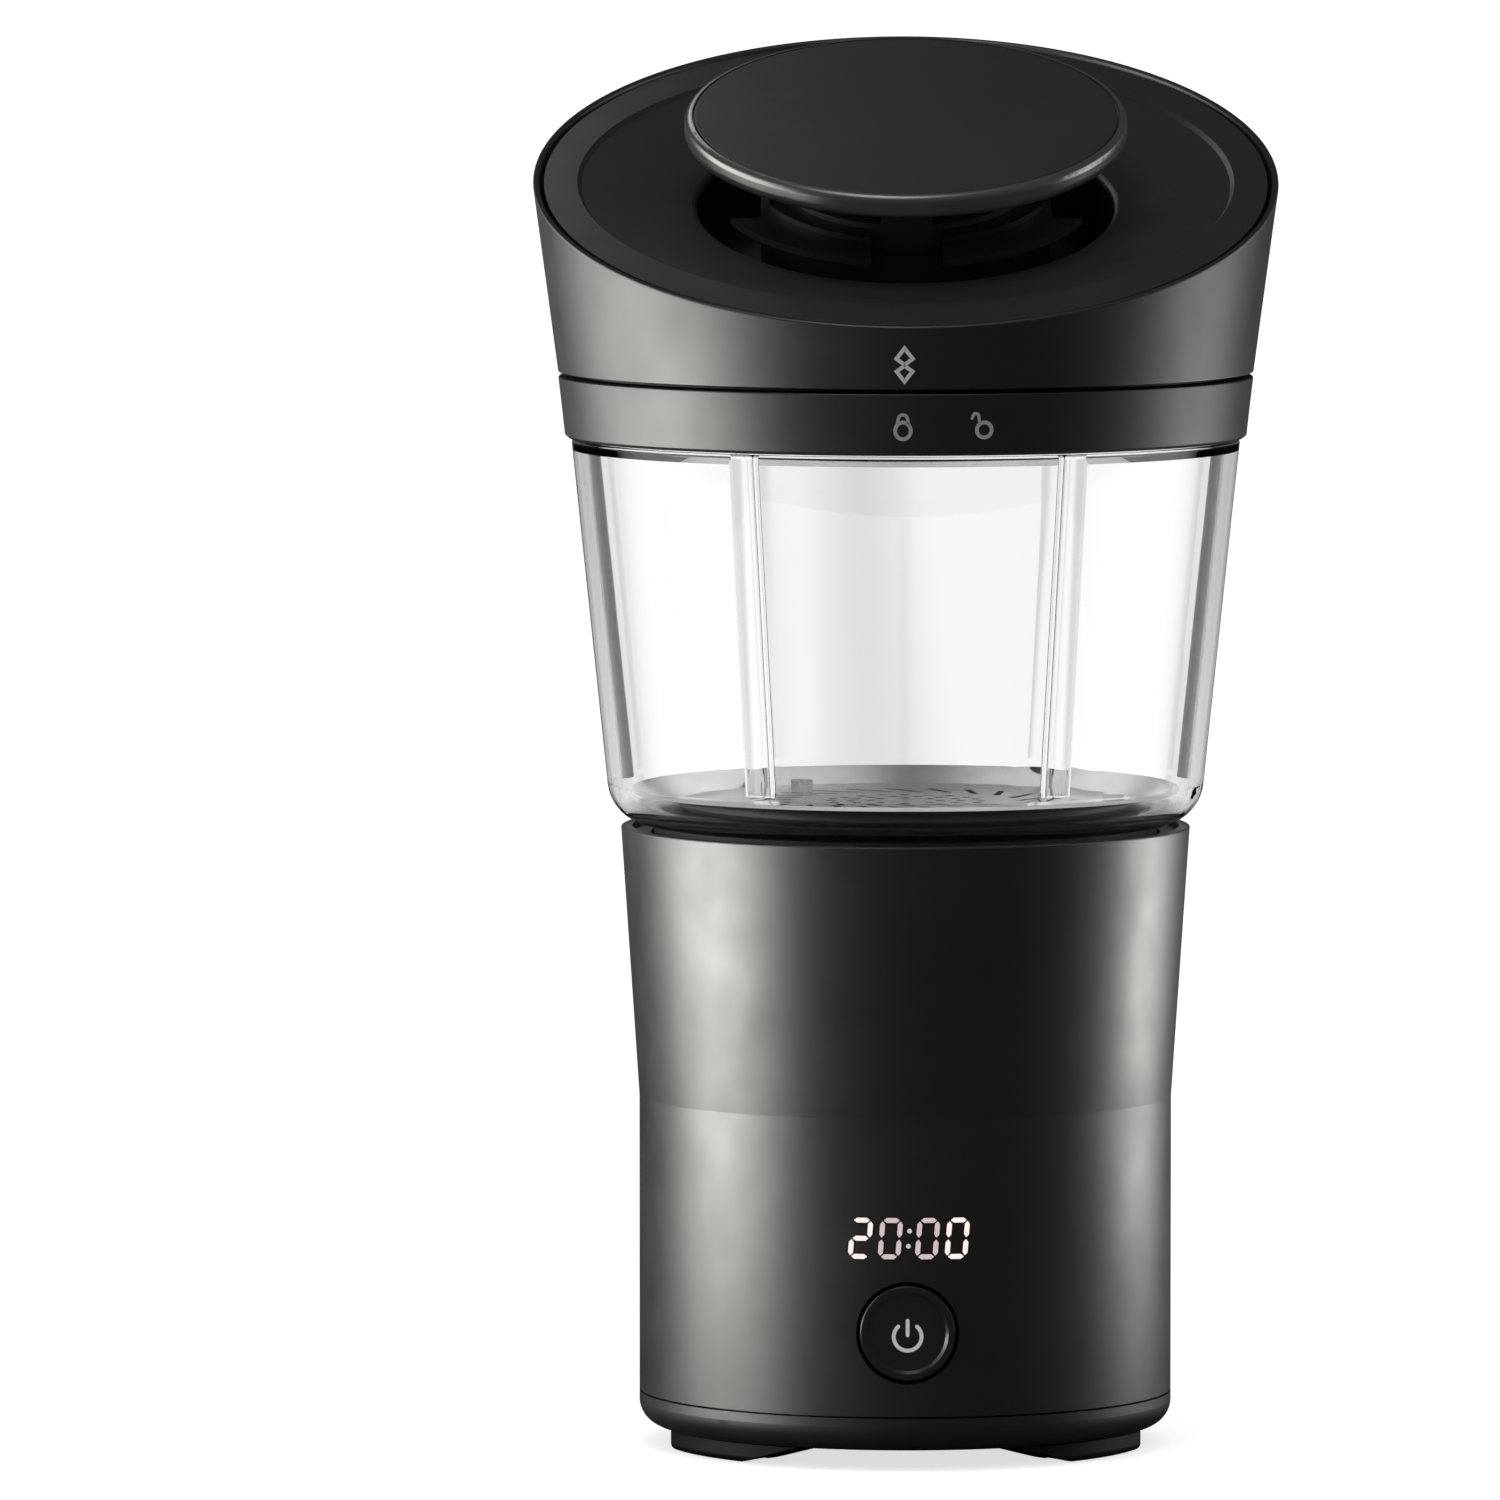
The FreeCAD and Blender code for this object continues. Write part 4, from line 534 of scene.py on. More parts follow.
# Glass so clear that only its edges and ribs, which bend the view, draw it.
GLASS = PressedGlass("borosilicate glass, pressed")
# The paler of the two inks on the lid and collar, so the arrow is read first.
ARROW_INK = PrintedInk("pale grey ink, pad printed", "#c6c6c4", "#bababa")
# A greyer ink, so the padlocks stay behind the arrow.
LOCK_INK = PrintedInk("mid grey ink, pad printed", "#9a9a98", "#90908e")
# Near white on the dark button, to be found without looking for it.
POWER_INK = PrintedInk("near-white ink, pad printed", "#f2f2f0", "#e8e8e6")
# The outer digits glow at full strength.
BRIGHT_LED = LitDiffuser("white light-emitting segment", "#fff8f6", "#ffeeea", 1.0)
# The inner digits and the colon share their drive, so they glow a little less.
DIM_LED = LitDiffuser("white light-emitting segment, dimmer", "#e6dad9", "#dccfce", 0.8)
# Stray light in the shell round each segment: a thin edge of deep red.
HALO_LED = LitDiffuser("red fringe of a lit segment", "#3a1214", "#240a0c", 0.5)

SLOT_FINISHES: dict[str, Finish] = {
    "satin_black_plastic": SATIN_BLACK,
    "dish_plastic": DISH_BLACK,
    "cap_plastic": CAP_BLACK,
    "inner_plastic": INNER_BLACK,
    "borosilicate_glass": GLASS,
    "stainless_steel": STEEL,
    "zinc_steel": ZINC,
    "laminated_iron": IRON,
    "ferrite": FERRITE,
    "bronze": BRONZE,
    "nickel_alloy_wire": NICKEL,
    "mica": MICA,
    "foot_rubber": RUBBER,
    "silicone": SILICONE,
    "circuit_board": SOLDER_MASK,
    "component_plastic": COMPONENT_BLACK,
    "button_plastic": BUTTON_BLACK,
    "tinned_brass": TINNED,
}

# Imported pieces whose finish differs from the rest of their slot.
OWN_FINISHES: dict[str, Finish] = {"cap_inlay": INLAY_BLACK, "exhaust_ring": RING_BLACK}


@cache
def material_of(finish: Finish) -> Material:
    """Gives a finish's material, which is made at the first call and shared by every piece after that."""
    return finish.build()


def dress(piece: Object, finish: Finish) -> None:
    """Gives a piece one finish all over.

    Args:
        piece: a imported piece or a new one.
        finish: its finish.
    """
    piece.data.materials.clear()
    piece.data.materials.append(material_of(finish))


# ---------------------------------------------------------------- marks on a surface


def arc(centre: Point, radius: float, start: float, stop: float, tall: float = 1.0) -> tuple[Point, ...]:
    """Gives points along an arc, counted in degrees from the right, the other way round than a clock.

    Args:
        centre: its centre.
        radius: its radius.
        start: where it begins.
        stop: where it ends.
        tall: its height over its width.

    Returns:
        The points.
    """
    steps = max(FEWEST_STEPS, round(abs(stop - start) / ARC_STEP))
    angles = [math.radians(start + (stop - start) * i / steps) for i in range(steps + 1)]
    return tuple((centre[0] + radius * math.cos(a), centre[1] + tall * radius * math.sin(a)) for a in angles)


def ring(centre: Point, radius: float, tall: float = 1.0) -> tuple[Point, ...]:
    """Gives points round a whole ring, for a closed stroke."""
    return arc(centre, radius, 0.0, 360.0 - ARC_STEP, tall)


@dataclass(frozen=True)
class Stroke:
    """A line of a mark, drawn flat in millimetres: across to the right and up."""

    path: tuple[Point, ...]
    width: float
    closed: bool = False
    end: EndShape = EndShape.ROUND

    # How finely a path is cut, how narrow an open end gets, and how far a sharp corner may reach.
    STEP: ClassVar[float] = 0.25
    POINT_SHARE: ClassVar[float] = 0.25
    ROUND_SHARE: ClassVar[float] = 0.1
    LARGEST_MITRE: ClassVar[float] = 2.2
    SHARPEST_TURN: ClassVar[float] = 0.2

    def points(self) -> list[Vector]:
        """Gives the path with no two neighbours further apart than STEP.

        Returns:
            The points, in order.
        """
        corners = [Vector(p) for p in self.path]
        if self.closed:
            corners.append(corners[0])
        found = [corners[0]]
        for start, stop in zip(corners, corners[1:]):
            count = max(1, math.ceil((stop - start).length / self.STEP))
            found += [start.lerp(stop, (i + 1) / count) for i in range(count)]
        return found[:-1] if self.closed else found

    def half_width(self, along: float, length: float) -> float:
        """Gives half the stroke's width at a place along it.

        Args:
            along: the distance from its start.
            length: its whole length.

        Returns:
            Half its width there, which narrows at an open end.
        """
        half = self.width / 2
        reach = min(along, length - along)
        if self.closed or reach >= half:
            return half
        if self.end is EndShape.POINTED:
            return max(reach, half * self.POINT_SHARE)
        return max(math.sqrt(half**2 - (half - reach) ** 2), half * self.ROUND_SHARE)

    def edges(self) -> tuple[list[Vector], list[Vector]]:
        """Gives the stroke's left and right edges.

        Returns:
            Two lists of as many points.
        """
        line = self.points()
        lengths = [0.0]
        for a, b in zip(line, line[1:]):
            lengths.append(lengths[-1] + (b - a).length)
        left, right = [], []
        for i, point in enumerate(line):
            before = line[i - 1] if i or self.closed else point
            after = line[(i + 1) % len(line)] if i + 1 < len(line) or self.closed else point
            run_in = (point - before).normalized() if before != point else (after - point).normalized()
            run_out = (after - point).normalized() if after != point else run_in
            ahead = (run_in + run_out).normalized()
            side = Vector((-ahead.y, ahead.x))
            mitre = min(self.LARGEST_MITRE, 1 / max(self.SHARPEST_TURN, ahead.dot(run_out)))
            offset = side * self.half_width(lengths[i], lengths[-1]) * mitre
            left.append(point + offset)
            right.append(point - offset)
        return left, right


class Skin:
    """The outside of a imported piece, which marks are laid on."""

    # Marks are laid on from this far in front of the roaster's axis.
    START_MM: ClassVar[float] = 300.0

    def __init__(self, node: str) -> None:
        """Reads the piece's mesh.

        Args:
            node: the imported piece's name.
        """
        mesh = frame["nodes"][node].data
        corners = [v.co.copy() for v in mesh.vertices]
        faces = [tuple(p.vertices) for p in mesh.polygons]
        self.tree = BVHTree.FromPolygons(corners, faces)
        self.node = node

    def touch(self, flat: Vector, azimuth: float) -> tuple[Vector, Vector]:
        """Finds where a point of a flat drawing lands on the piece.

        Args:
            flat: the point, across and up in millimetres, seen from outside.
            azimuth: how far the drawing is turned about the upright axis from the front, in degrees.

        Returns:
            The place on the surface, in metres, and its outward direction.

        Raises:
            ValueError: if the point lands beside the piece.
        """
        turn = Matrix.Rotation(math.radians(azimuth), 3, "Z")
        start = turn @ Vector((flat.x * MM, -self.START_MM * MM, flat.y * MM))
        ahead = turn @ Vector((0.0, 1.0, 0.0))
        place, normal, _, _ = self.tree.ray_cast(start, ahead)
        if place is None:
            raise ValueError(f"a mark misses {self.node} at {tuple(flat)}")
        return place, normal if normal.dot(ahead) < 0 else -normal


@dataclass(frozen=True)
class Mark:
    """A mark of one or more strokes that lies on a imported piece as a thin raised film."""

    name: str
    host: str
    body: Body
    strokes: tuple[Stroke, ...]
    up: float
    across: float = 0.0
    azimuth: float = 0.0
    rise_mm: float = 0.05
    sink_mm: float = 0.05

    def lay(self, film: BMesh, skin: Skin, stroke: Stroke) -> None:
        """Adds one stroke to the film.

        Args:
            film: the mesh that takes it.
            skin: the surface that it lies on.
            stroke: the stroke.
        """
        shift = Vector((self.across, self.up))
        # A row holds four points: the left edge's top and bottom, then the right edge's.
        rows = []
        for left, right in zip(*stroke.edges()):
            row = []
            for flat in (left, right):
                place, out = skin.touch(flat + shift, self.azimuth)
                row.append(film.verts.new(place + out * self.rise_mm * MM))
                row.append(film.verts.new(place - out * self.sink_mm * MM))
            rows.append(row)
        pairs = list(zip(rows, rows[1:]))
        if stroke.closed:
            pairs.append((rows[-1], rows[0]))
        for (lt, lb, rt, rb), (lt2, lb2, rt2, rb2) in pairs:
            film.faces.new((lt, rt, rt2, lt2))
            film.faces.new((lb2, rb2, rb, lb))
            film.faces.new((lt2, lb2, lb, lt))
            film.faces.new((rt, rb, rb2, rt2))
        if not stroke.closed:
            for lt, lb, rt, rb in (rows[0], rows[-1]):
                film.faces.new((lt, lb, rb, rt))

    def add(self, finish: Finish) -> None:
        """Builds the mark on its host, dresses it and puts it on its body.

        Args:
            finish: the mark's finish.
        """
        skin = Skin(self.host)
        film = bmesh.new()
        for stroke in self.strokes:
            self.lay(film, skin, stroke)
        bmesh.ops.recalc_face_normals(film, faces=film.faces)
        piece = object_from(film, self.name)
        dress(piece, finish)
        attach(piece, self.body.value)
        LOG.info("mark %s on %s", self.name, self.host)


# ---------------------------------------------------------------- sub-assemblies


@dataclass(frozen=True)
class Digits:
    """The lit time on the front of the base: four leaning digits with a colon."""

    text: str = "20:00"
    height: float = 7.2
    width: float = 3.5
    stroke: float = 0.98
    gap: float = 0.27
    lean: float = 4.5
    pitch: float = 5.88
    colon_room: float = 1.45
    colon_reach: float = 1.5
    dot: float = 0.95
    dot_hole: float = 0.02
    middle_up: float = 46.4
    middle_across: float = 0.25
    fringe: float = 0.7
    fringe_rise_mm: float = 0.02
    brightest: tuple[int, ...] = (0, 3)

    BARS: ClassVar[dict[str, tuple[Corner, Corner]]] = {
        "a": ((-1, 1), (1, 1)),
        "b": ((1, 1), (1, 0)),
        "c": ((1, 0), (1, -1)),
        "d": ((-1, -1), (1, -1)),
        "e": ((-1, 0), (-1, -1)),
        "f": ((-1, 1), (-1, 0)),
        "g": ((-1, 0), (1, 0)),
    }
    LIT_BARS: ClassVar[dict[str, str]] = {"0": "abcdef", "2": "abged"}

    def leaning(self, point: Vector, centre: float) -> Point:
        """Shifts a point of a digit to its place across and leans it to the right."""
        return centre + point.x + point.y * math.tan(math.radians(self.lean)), point.y

    def bar(self, letter: str, centre: float) -> Stroke:
        """Gives one lit bar of a digit.

        Args:
            letter: the bar's usual letter, from a at the top to g in the middle.
            centre: the digit's place across.

        Returns:
            The bar as a stroke.
        """
        ends = self.BARS[letter]
        start, stop = [Vector((self.width / 2 * side, self.height / 2 * level)) for side, level in ends]
        inward = (stop - start).normalized() * self.gap
        path = tuple(self.leaning(p, centre) for p in (start + inward, stop - inward))
        return Stroke(path, self.stroke, end=EndShape.POINTED)

    def colon_dot(self, level: int) -> Stroke:
        """Gives the colon's lower (-1) or upper (1) dot, as a ring that fills its own middle."""
        centre = self.leaning(Vector((0.0, level * self.colon_reach)), 0.0)
        return Stroke(ring(centre, self.dot / 4), self.dot / 2 - self.dot_hole, closed=True)

    def centres(self, count: int) -> list[float]:
        """Gives each digit's place across, from left to right, with room for the colon in the middle."""
        first = -(count - 1) / 2 * self.pitch - self.colon_room / 2
        return [first + i * self.pitch + (self.colon_room if i >= count / 2 else 0.0) for i in range(count)]

    def add(self) -> None:
        """Builds the digits, the colon and their red fringe."""
        figures = self.text.replace(":", "")
        for i, (figure, centre) in enumerate(zip(figures, self.centres(len(figures)))):
            bars = tuple(self.bar(letter, centre) for letter in self.LIT_BARS[figure])
            finish = BRIGHT_LED if i in self.brightest else DIM_LED
            self.place(f"digit_{i + 1}", bars).add(finish)
            wide = tuple(Stroke(bar.path, bar.width + self.fringe) for bar in bars)
            self.place(f"digit_{i + 1}_fringe", wide, self.fringe_rise_mm).add(HALO_LED)
        self.place("colon", (self.colon_dot(-1), self.colon_dot(1))).add(DIM_LED)

    def place(self, name: str, strokes: tuple[Stroke, ...], rise: float = Mark.rise_mm) -> Mark:
        """Gives a mark at the display's place on the base.

        Args:
            name: the mark's name.
            strokes: what it is drawn with.
            rise: how far it stands out.

        Returns:
            The mark, not built yet.
        """
        return Mark(name, "base_shell", Body.BASE, strokes, self.middle_up, self.middle_across, rise_mm=rise)


@dataclass(frozen=True)
class PowerMark:
    """The sign on the power button: a ring open at the top with a bar in the gap."""

    up: float = 26.9
    radius: float = 2.75
    line: float = 0.75
    gap: float = 34.0
    bar_top: float = 3.6
    bar_foot: float = -0.1

    def add(self) -> None:
        """Builds the sign."""
        # The top is at 90 degrees, and at 450 after a whole turn.
        circle = Stroke(arc((0.0, 0.0), self.radius, 90 + self.gap, 450 - self.gap), self.line)
        bar = Stroke(((0.0, self.bar_foot), (0.0, self.bar_top)), self.line)
        Mark("power_sign", "power_button", Body.BUTTON, (circle, bar), self.up).add(POWER_INK)


@dataclass(frozen=True)
class LidMarks:
    """The lid's double arrow, and the closed and open padlocks on the collar that it turns between."""

    arrow_up: float = 219.7
    arrow_across: float = -0.9
    lock_up: float = 207.6
    lock_across: float = -1.2
    open_azimuth: float = 12.4
    line: float = 0.75
    shackle_share: float = 0.85
    swung_share: float = 0.8

    def arrow(self) -> tuple[Stroke, ...]:
        """Draws two hollow arrowheads, one up and one down, that meet in the middle.

        Returns:
            Their two outlines.
        """
        upper = ((0.0, 3.35), (1.6, 1.3), (0.0, 0.1), (-1.6, 1.3))
        lower = ((0.0, -3.2), (-1.55, -1.2), (0.0, -0.1), (1.55, -1.2))
        return Stroke(upper, self.line, closed=True), Stroke(lower, self.line, closed=True)

    def closed_lock(self) -> tuple[Stroke, ...]:
        """Draws a round body with its shackle in both holes.

        Returns:
            The body and the shackle.
        """
        body = Stroke(ring((0.0, -0.8), 1.52, 1.08), self.line, closed=True)
        legs = ((-1.15, 0.3),) + arc((0.0, 1.3), 0.95, 180.0, 0.0, 1.1) + ((1.15, 0.3),)
        return body, Stroke(legs, self.line * self.shackle_share)

    def open_lock(self) -> tuple[Stroke, ...]:
        """Draws a round body with its shackle swung out to the left.

        Returns:
            The body and the shackle.
        """
        body = Stroke(ring((0.0, -0.7), 1.48), self.line, closed=True)
        swung = ((-0.95, 0.7), (-1.15, 1.9)) + arc((-1.75, 1.95), 0.6, 0.0, 180.0) + ((-2.6, 1.3),)
        return body, Stroke(swung, self.line * self.swung_share)

    def add(self) -> None:
        """Builds the three marks."""
        arrow = Mark("turn_arrows", "lid_shell", Body.LID, self.arrow(), self.arrow_up, self.arrow_across)
        arrow.add(ARROW_INK)
        closed = Mark("lock_closed", "collar", Body.JAR, self.closed_lock(), self.lock_up, self.lock_across)
        closed.add(LOCK_INK)
        opened = Mark(
            "lock_open", "collar", Body.JAR, self.open_lock(), self.lock_up, azimuth=self.open_azimuth
        )
        opened.add(LOCK_INK)


@dataclass(frozen=True)
class ReturnSpring:
    """The coil spring behind the power button, wound here at its rest length; the real one shortens as the
    button is pressed.
    """

    node: str = "button_spring"
    joint: str = "button_press"
    wire: float = 0.4
    turns: int = 3
    travel: float = 1.0
    steps: int = 28
    sides: int = 10

    def rim(self, outward: Vector, k: int) -> Vector:
        """Gives the direction from the wire's middle to point k of its round section."""
        angle = math.tau * k / self.sides
        return outward * math.cos(angle) + Vector((0.0, 1.0, 0.0)) * math.sin(angle)

    def wind(self, low: Vector, high: Vector) -> BMesh:
        """Winds the wire from the rear of a box to its front.

        Args:
            low: the box's lowest corner.
            high: its highest corner.

        Returns:
            The wound wire.
        """
        wire = self.wire * MM
        middle = (low + high) / 2
        coil_radius = (high.x - low.x) / 2 - wire
        length = high.y - low.y - 2 * wire
        coil = bmesh.new()
        rows = []
        for i in range(self.turns * self.steps + 1):
            share = i / (self.turns * self.steps)
            around = math.tau * self.turns * share
            outward = Vector((math.cos(around), 0.0, math.sin(around)))
            centre = Vector((middle.x, high.y - wire - length * share, middle.z)) + outward * coil_radius
            rows.append([coil.verts.new(centre + self.rim(outward, k) * wire) for k in range(self.sides)])
        for row, after in zip(rows, rows[1:]):
            for k in range(self.sides):
                nearby = (k + 1) % self.sides
                coil.faces.new((row[k], row[nearby], after[nearby], after[k]))
        for row in (rows[0], rows[-1]):
            coil.faces.new(row)
        bmesh.ops.recalc_face_normals(coil, faces=coil.faces)
        return coil

    def add(self) -> None:
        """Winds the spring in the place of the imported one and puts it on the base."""
        low, high = (Vector(corner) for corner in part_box(self.node))
        piece = object_from(self.wind(low, high), "return_spring")
        dress(piece, ZINC)
        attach(piece, Body.BASE.value)
        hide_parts(self.node)
        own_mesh(piece)
        LOG.info("return spring in place of %s", self.node)


# ---------------------------------------------------------------- studio


@dataclass(frozen=True)
class Softbox:
    """A soft lamp with a plain rectangular face that looks at the roaster."""

    name: str
    azimuth: float
    distance_mm: float
    width_mm: float
    height_mm: float
    radiance: float
    elevation: float = 0.0
    aim_mm: float = 140.0
    gloss_only: bool = True
    lights: tuple[str, ...] = ()
    spares: tuple[str, ...] = ()

    def add(self) -> None:
        """Sets the lamp up, with the power that gives its face this radiance."""
        turn = math.radians(self.azimuth)
        rise = math.radians(self.elevation)
        away = Vector((math.sin(turn) * math.cos(rise), -math.cos(turn) * math.cos(rise), math.sin(rise)))
        data = bpy.data.lights.new(self.name, "AREA")
        data.shape = "RECTANGLE"
        data.size = self.width_mm * MM
        data.size_y = self.height_mm * MM
        data.energy = self.radiance * math.pi * data.size * data.size_y
        self.fade_sides(data)
        lamp = bpy.data.objects.new(self.name, data)
        lamp.location = away * self.distance_mm * MM + Vector((0.0, 0.0, self.aim_mm * MM))
        lamp.rotation_mode = "QUATERNION"
        lamp.rotation_quaternion = away.to_track_quat("Z", "Y")
        lamp.visible_camera = False
        lamp.visible_diffuse = not self.gloss_only
        lamp.visible_transmission = not self.gloss_only
        bpy.context.scene.collection.objects.link(lamp)
        if self.lights or self.spares:
            self.choose_pieces(lamp)

    def choose_pieces(self, lamp: Object) -> None:
        """Makes the lamp light only some pieces, or spare some, as flags and snoots do in a studio.

        Args:
            lamp: the lamp.
        """
        chosen = bpy.data.collections.new(f"pieces of the {self.name}")
        for node in self.lights + self.spares:
            chosen.objects.link(frame["nodes"][node])
        for entry in chosen.collection_objects:
            entry.light_linking.link_state = "INCLUDE" if self.lights else "EXCLUDE"
        lamp.light_linking.receiver_collection = chosen

    def fade_sides(self, data: Light) -> None:
        """Makes the lamp brightest along its middle and dark at its left and right edges.

        The strength at a share u of the way across is 4u(1 - u), which is 1 in the middle.

        Args:
            data: the lamp.
        """
        data.use_nodes = True
        tree = data.node_tree
        tree.nodes.clear()
        place = add_node(tree, "ShaderNodeNewGeometry").outputs["Parametric"]
        across = add_node(tree, "ShaderNodeSeparateXYZ", None, {0: place}).outputs["X"]
        other = add_node(tree, "ShaderNodeMath", {"operation": "SUBTRACT", 0: 1.0}, {1: across}).outputs[0]
        both = add_node(tree, "ShaderNodeMath", {"operation": "MULTIPLY"}, {0: across, 1: other}).outputs[0]
        fade = add_node(tree, "ShaderNodeMath", {"operation": "MULTIPLY", 1: 4.0}, {0: both}).outputs[0]
        glow = add_node(tree, "ShaderNodeEmission", None, {"Strength": fade})
        output = add_node(tree, "ShaderNodeOutputLight")
        tree.links.new(glow.outputs[0], output.inputs[0])


CLEAR_PIECES = ("jar_glass", "roasting_pan")
CAP_PIECES = ("cap_disc", "cap_inlay", "exhaust_ring")
DISH_PIECES = ("lid_dish",)

# Strips at the sides draw the two bright bands down the body, stronger below the base's bend. The glass,
# the cap and the dish have lamps of their own, because a strip would draw hard edges on them.
SOFTBOXES = (
    Softbox(
        "left strip, low", azimuth=-79.5, distance_mm=352.0, width_mm=370.0, height_mm=75.0,
        radiance=19.5, aim_mm=57.5, spares=CLEAR_PIECES,
    ),
    Softbox(
        "left strip, high", azimuth=-91.5, distance_mm=351.0, width_mm=480.0, height_mm=325.0,
        radiance=4.35, aim_mm=257.5, spares=CLEAR_PIECES + DISH_PIECES,
    ),
    Softbox(
        "right strip, low", azimuth=110.0, distance_mm=341.0, width_mm=190.0, height_mm=75.0,
        radiance=14.0, aim_mm=57.5, spares=CLEAR_PIECES,
    ),
    Softbox(
        "right strip, high", azimuth=102.0, distance_mm=341.0, width_mm=210.0, height_mm=305.0,
        radiance=2.6, aim_mm=247.5, spares=CLEAR_PIECES,
    ),
    Softbox(
        "left strip for the glass", azimuth=-80.0, distance_mm=500.0, width_mm=700.0, height_mm=560.0,
        radiance=3.0, aim_mm=220.0, lights=CLEAR_PIECES,
    ),
    Softbox(
        "right strip for the glass", azimuth=85.0, distance_mm=500.0, width_mm=600.0, height_mm=560.0,
        radiance=3.0, aim_mm=220.0, lights=CLEAR_PIECES,
    ),
    Softbox(
        "lamp for the cap", azimuth=-152.0, elevation=40.0, distance_mm=317.0, width_mm=130.0,
        height_mm=130.0, radiance=2.3, aim_mm=270.0, lights=CAP_PIECES,
    ),
    Softbox(
        "lamp for the dish", azimuth=-152.0, elevation=32.0, distance_mm=360.0, width_mm=160.0,
        height_mm=160.0, radiance=1.8, aim_mm=250.0, lights=DISH_PIECES,
    ),
    Softbox(
        "top softbox", azimuth=-20.0, elevation=70.0, distance_mm=900.0, width_mm=500.0,
        height_mm=500.0, radiance=2.4, gloss_only=False,
    ),
)


@dataclass(frozen=True)
class Studio:
    """The plain pale floor, the white surround, the lamps and the camera."""

    lens_mm: float = 396.0
    distance_mm: float = 3300.0
    pitch: float = 4.35
    aim_mm: tuple[float, float, float] = (-31.1, 0.0, 139.0)
    floor_half_mm: float = 9000.0
    floor_cells: int = 8
    white: str = "#ffffff"
    floor_colour: str = "#e8e8e7"
    floor_grain_mm: float = 2.0
    floor_grain_height_mm: float = 0.02
    floor_grain_strength: float = 0.1
    flag_colour: str = "#202020"
    floor_lift: float = 0.7
    fill: float = 0.5
    dark: float = 0.04
    # Seen through the glass only: the surround is painted darker straight behind the roaster, a painted
    # shade.
    wall_stops: tuple[Stop, ...] = ((0.2, 0.0), (1.0, 0.08), (1.0, 0.55), (0.72, 0.9))
    # Seen through the glass only: the floor is painted darker along its middle, a painted shade, and darker
    # near the base, a painted shadow that fades out between shade_from_mm and shade_to_mm.
    floor_stops: tuple[Stop, ...] = ((0.77, 0.0), (1.0, 0.05), (1.0, 0.35), (0.72, 0.95))
    shade_from_mm: float = 100.0
    shade_to_mm: float = 600.0
    shade: float = 0.1

    @staticmethod
    def bright_field(tree: Tree, place: Socket, stops: tuple[Stop, ...]) -> Socket:
        """Adds a brightness that changes softly from the middle of the backdrop to its sides; where the stops
        are darker in the middle, this is painted shade in what the glass shows.

        Args:
            tree: the node tree that uses it.
            place: a point or a direction, whose distance from the plane X = 0 is used.
            stops: the brightnesses, from the middle outwards.

        Returns:
            The socket with the brightness.
        """
        across = add_node(tree, "ShaderNodeSeparateXYZ", None, {0: place}).outputs["X"]
        distance = add_node(tree, "ShaderNodeMath", {"operation": "ABSOLUTE"}, {0: across}).outputs[0]
        ramp = add_node(tree, "ShaderNodeValToRGB", None, {"Fac": distance})
        ramp.color_ramp.interpolation = "EASE"
        while len(ramp.color_ramp.elements) < len(stops):
            ramp.color_ramp.elements.new(1.0)
        for element, (brightness, at) in zip(ramp.color_ramp.elements, stops):
            element.position = at
            element.color = (brightness, brightness, brightness, 1.0)
        return ramp.outputs["Color"]

    def add_surround(self) -> None:
        """Makes the world: white for the eye, a bright field for glass with painted shade down its middle, a
        soft fill, and dark for gloss.
        """
        world = bpy.data.worlds.new("studio surround")
        bpy.context.scene.world = world
        world.use_nodes = True
        tree = world.node_tree
        tree.nodes.clear()
        path = add_node(tree, "ShaderNodeLightPath")
        heading = add_node(tree, "ShaderNodeTexCoord").outputs["Generated"]
        flagged = add_node(
            tree,
            "ShaderNodeMix",
            {NUMBER_A: self.fill, NUMBER_B: self.dark},
            {"Factor": path.outputs["Is Glossy Ray"]},
        )
        through = add_node(
            tree,
            "ShaderNodeMix",
            None,
            {
                "Factor": path.outputs["Is Transmission Ray"],
                NUMBER_A: flagged.outputs[0],
                NUMBER_B: self.bright_field(tree, heading, self.wall_stops),
            },
        )
        strength = add_node(
            tree,
            "ShaderNodeMix",
            {NUMBER_B: 1.0},
            {"Factor": path.outputs["Is Camera Ray"], NUMBER_A: through.outputs[0]},
        )
        background = add_node(
            tree,
            "ShaderNodeBackground",
            {"Color": linear(self.white)},
            {"Strength": strength.outputs[0]},
        )
        output = add_node(tree, "ShaderNodeOutputWorld")
        tree.links.new(background.outputs[0], output.inputs[0])

    def floor_paint(self, tree: Tree, path: Node) -> Node:
        """Adds the board's paint: pale, but dark to gloss and glass, so that it draws no white on black.

        Args:
            tree: the floor's node tree.
            path: its light path node.

        Returns:
            The node with the paint.
        """
        seen_in_gloss = add_node(
            tree,
            "ShaderNodeMath",
            {"operation": "MAXIMUM"},
            {0: path.outputs["Is Glossy Ray"], 1: path.outputs["Is Transmission Ray"]},
        )
        colour = add_node(
            tree,
            "ShaderNodeMix",
            {"data_type": "RGBA", COLOUR_A: linear(self.floor_colour), COLOUR_B: linear(self.flag_colour)},
            {"Factor": seen_in_gloss.outputs[0]},
        )
        place = place_in_mm(tree)
        height = self.floor_grain_height_mm
        grain = relief(tree, place, self.floor_grain_mm, height, self.floor_grain_strength, detail=2.0)
        links = {"Color": colour.outputs[COLOUR_OUT], "Normal": grain}
        return add_node(tree, "ShaderNodeBsdfDiffuse", None, links)

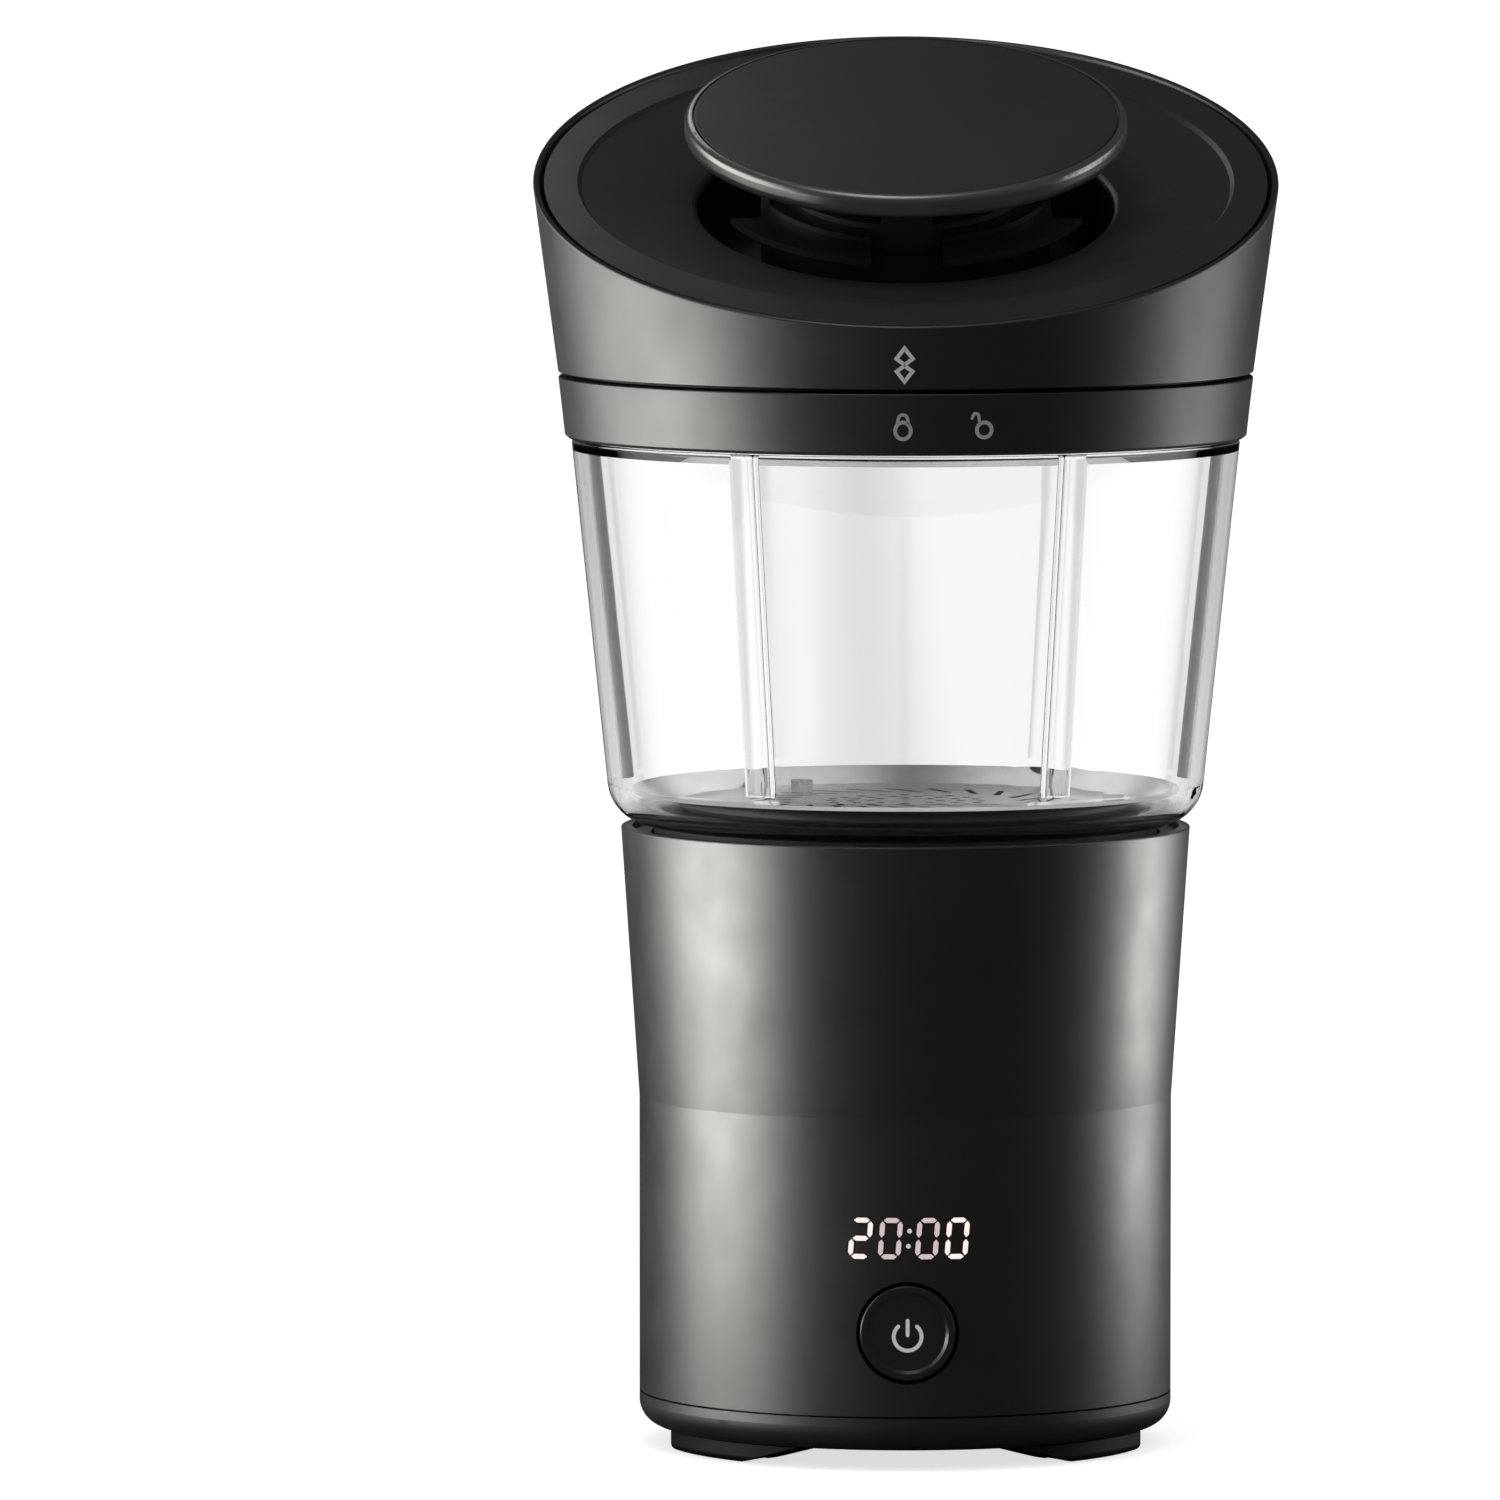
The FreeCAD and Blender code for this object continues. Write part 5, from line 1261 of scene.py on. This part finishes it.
    def floor_glow(self, tree: Tree, path: Node) -> Node:
        """Adds a little light to the board for the eye, so only shadow shows, and a bright field for glass
        with painted shade along its middle and a painted shadow round the base.

        Args:
            tree: the floor's node tree.
            path: its light path node.

        Returns:
            The node with the light.
        """
        metres = add_node(tree, "ShaderNodeTexCoord").outputs["Object"]
        away = add_node(tree, "ShaderNodeVectorMath", {"operation": "LENGTH"}, {0: metres}).outputs["Value"]
        # Painted shadow: the glow that the glass sees drops to the shade value close to the base.
        outside_painted_shadow = add_node(
            tree,
            "ShaderNodeMapRange",
            {
                "interpolation_type": "SMOOTHSTEP",
                "From Min": self.shade_from_mm * MM,
                "From Max": self.shade_to_mm * MM,
                "To Min": self.shade,
            },
            {"Value": away},
        )
        field = self.bright_field(tree, metres, self.floor_stops)
        product = {"operation": "MULTIPLY"}
        lit = add_node(tree, "ShaderNodeMath", product, {0: field, 1: outside_painted_shadow.outputs[0]})
        to_glass = {0: path.outputs["Is Transmission Ray"], 1: lit.outputs[0]}
        for_glass = add_node(tree, "ShaderNodeMath", product, to_glass)
        lift = {"operation": "MULTIPLY", 1: self.floor_lift}
        for_eye = add_node(tree, "ShaderNodeMath", lift, {0: path.outputs["Is Camera Ray"]})
        either = {0: for_eye.outputs[0], 1: for_glass.outputs[0]}
        strength = add_node(tree, "ShaderNodeMath", {"operation": "MAXIMUM"}, either)
        white = {"Color": linear(self.white)}
        return add_node(tree, "ShaderNodeEmission", white, {"Strength": strength.outputs[0]})

    def floor_material(self) -> Material:
        """Makes the painted board, which shows as white with the roaster's shadow on it.

        Returns:
            The new material.
        """
        material, tree, output = empty_material("painted board, matt white")
        path = add_node(tree, "ShaderNodeLightPath")
        paint = self.floor_paint(tree, path)
        glow = self.floor_glow(tree, path)
        both = add_node(tree, "ShaderNodeAddShader", None, {0: paint.outputs[0], 1: glow.outputs[0]})
        tree.links.new(both.outputs[0], output.inputs[0])
        return material

    def add_floor(self) -> None:
        """Lays the floor under the feet."""
        sheet = bmesh.new()
        cells = self.floor_cells
        bmesh.ops.create_grid(sheet, x_segments=cells, y_segments=cells, size=self.floor_half_mm * MM)
        floor = object_from(sheet, "floor")
        floor.data.materials.append(self.floor_material())

    def add_camera(self) -> None:
        """Sets up the camera a long way off, a little above the roaster, looking slightly down."""
        tilt = math.radians(self.pitch)
        aim = Vector(self.aim_mm) * MM
        back = Vector((0.0, -math.cos(tilt), math.sin(tilt)))
        data = bpy.data.cameras.new("camera")
        data.lens = self.lens_mm
        camera = bpy.data.objects.new("camera", data)
        camera.location = aim + back * self.distance_mm * MM
        camera.rotation_mode = "QUATERNION"
        camera.rotation_quaternion = (-back).to_track_quat("-Z", "Y")
        bpy.context.scene.collection.objects.link(camera)
        bpy.context.scene.camera = camera

    def add(self) -> None:
        """Sets up the whole studio."""
        bpy.context.scene.view_settings.view_transform = "Standard"
        self.add_surround()
        self.add_floor()
        for lamp in SOFTBOXES:
            lamp.add()
        self.add_camera()
        LOG.info("studio ready")


# ---------------------------------------------------------------- the whole


def dress_packed_pieces() -> None:
    """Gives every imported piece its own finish, or that of its material slot."""
    for part in frame["record"]["subparts"]:
        node = part["node"]
        dress(frame["nodes"][node], OWN_FINISHES.get(node, SLOT_FINISHES[part["material_slot"]]))
        LOG.info("finish on %s", node)


def main() -> None:
    """Builds everything in order."""
    logging.basicConfig(level=logging.INFO, format="%(name)s: %(message)s")
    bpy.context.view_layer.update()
    dress_packed_pieces()
    Digits().add()
    PowerMark().add()
    LidMarks().add()
    ReturnSpring().add()
    Studio().add()


if __name__ == "__main__":
    main()
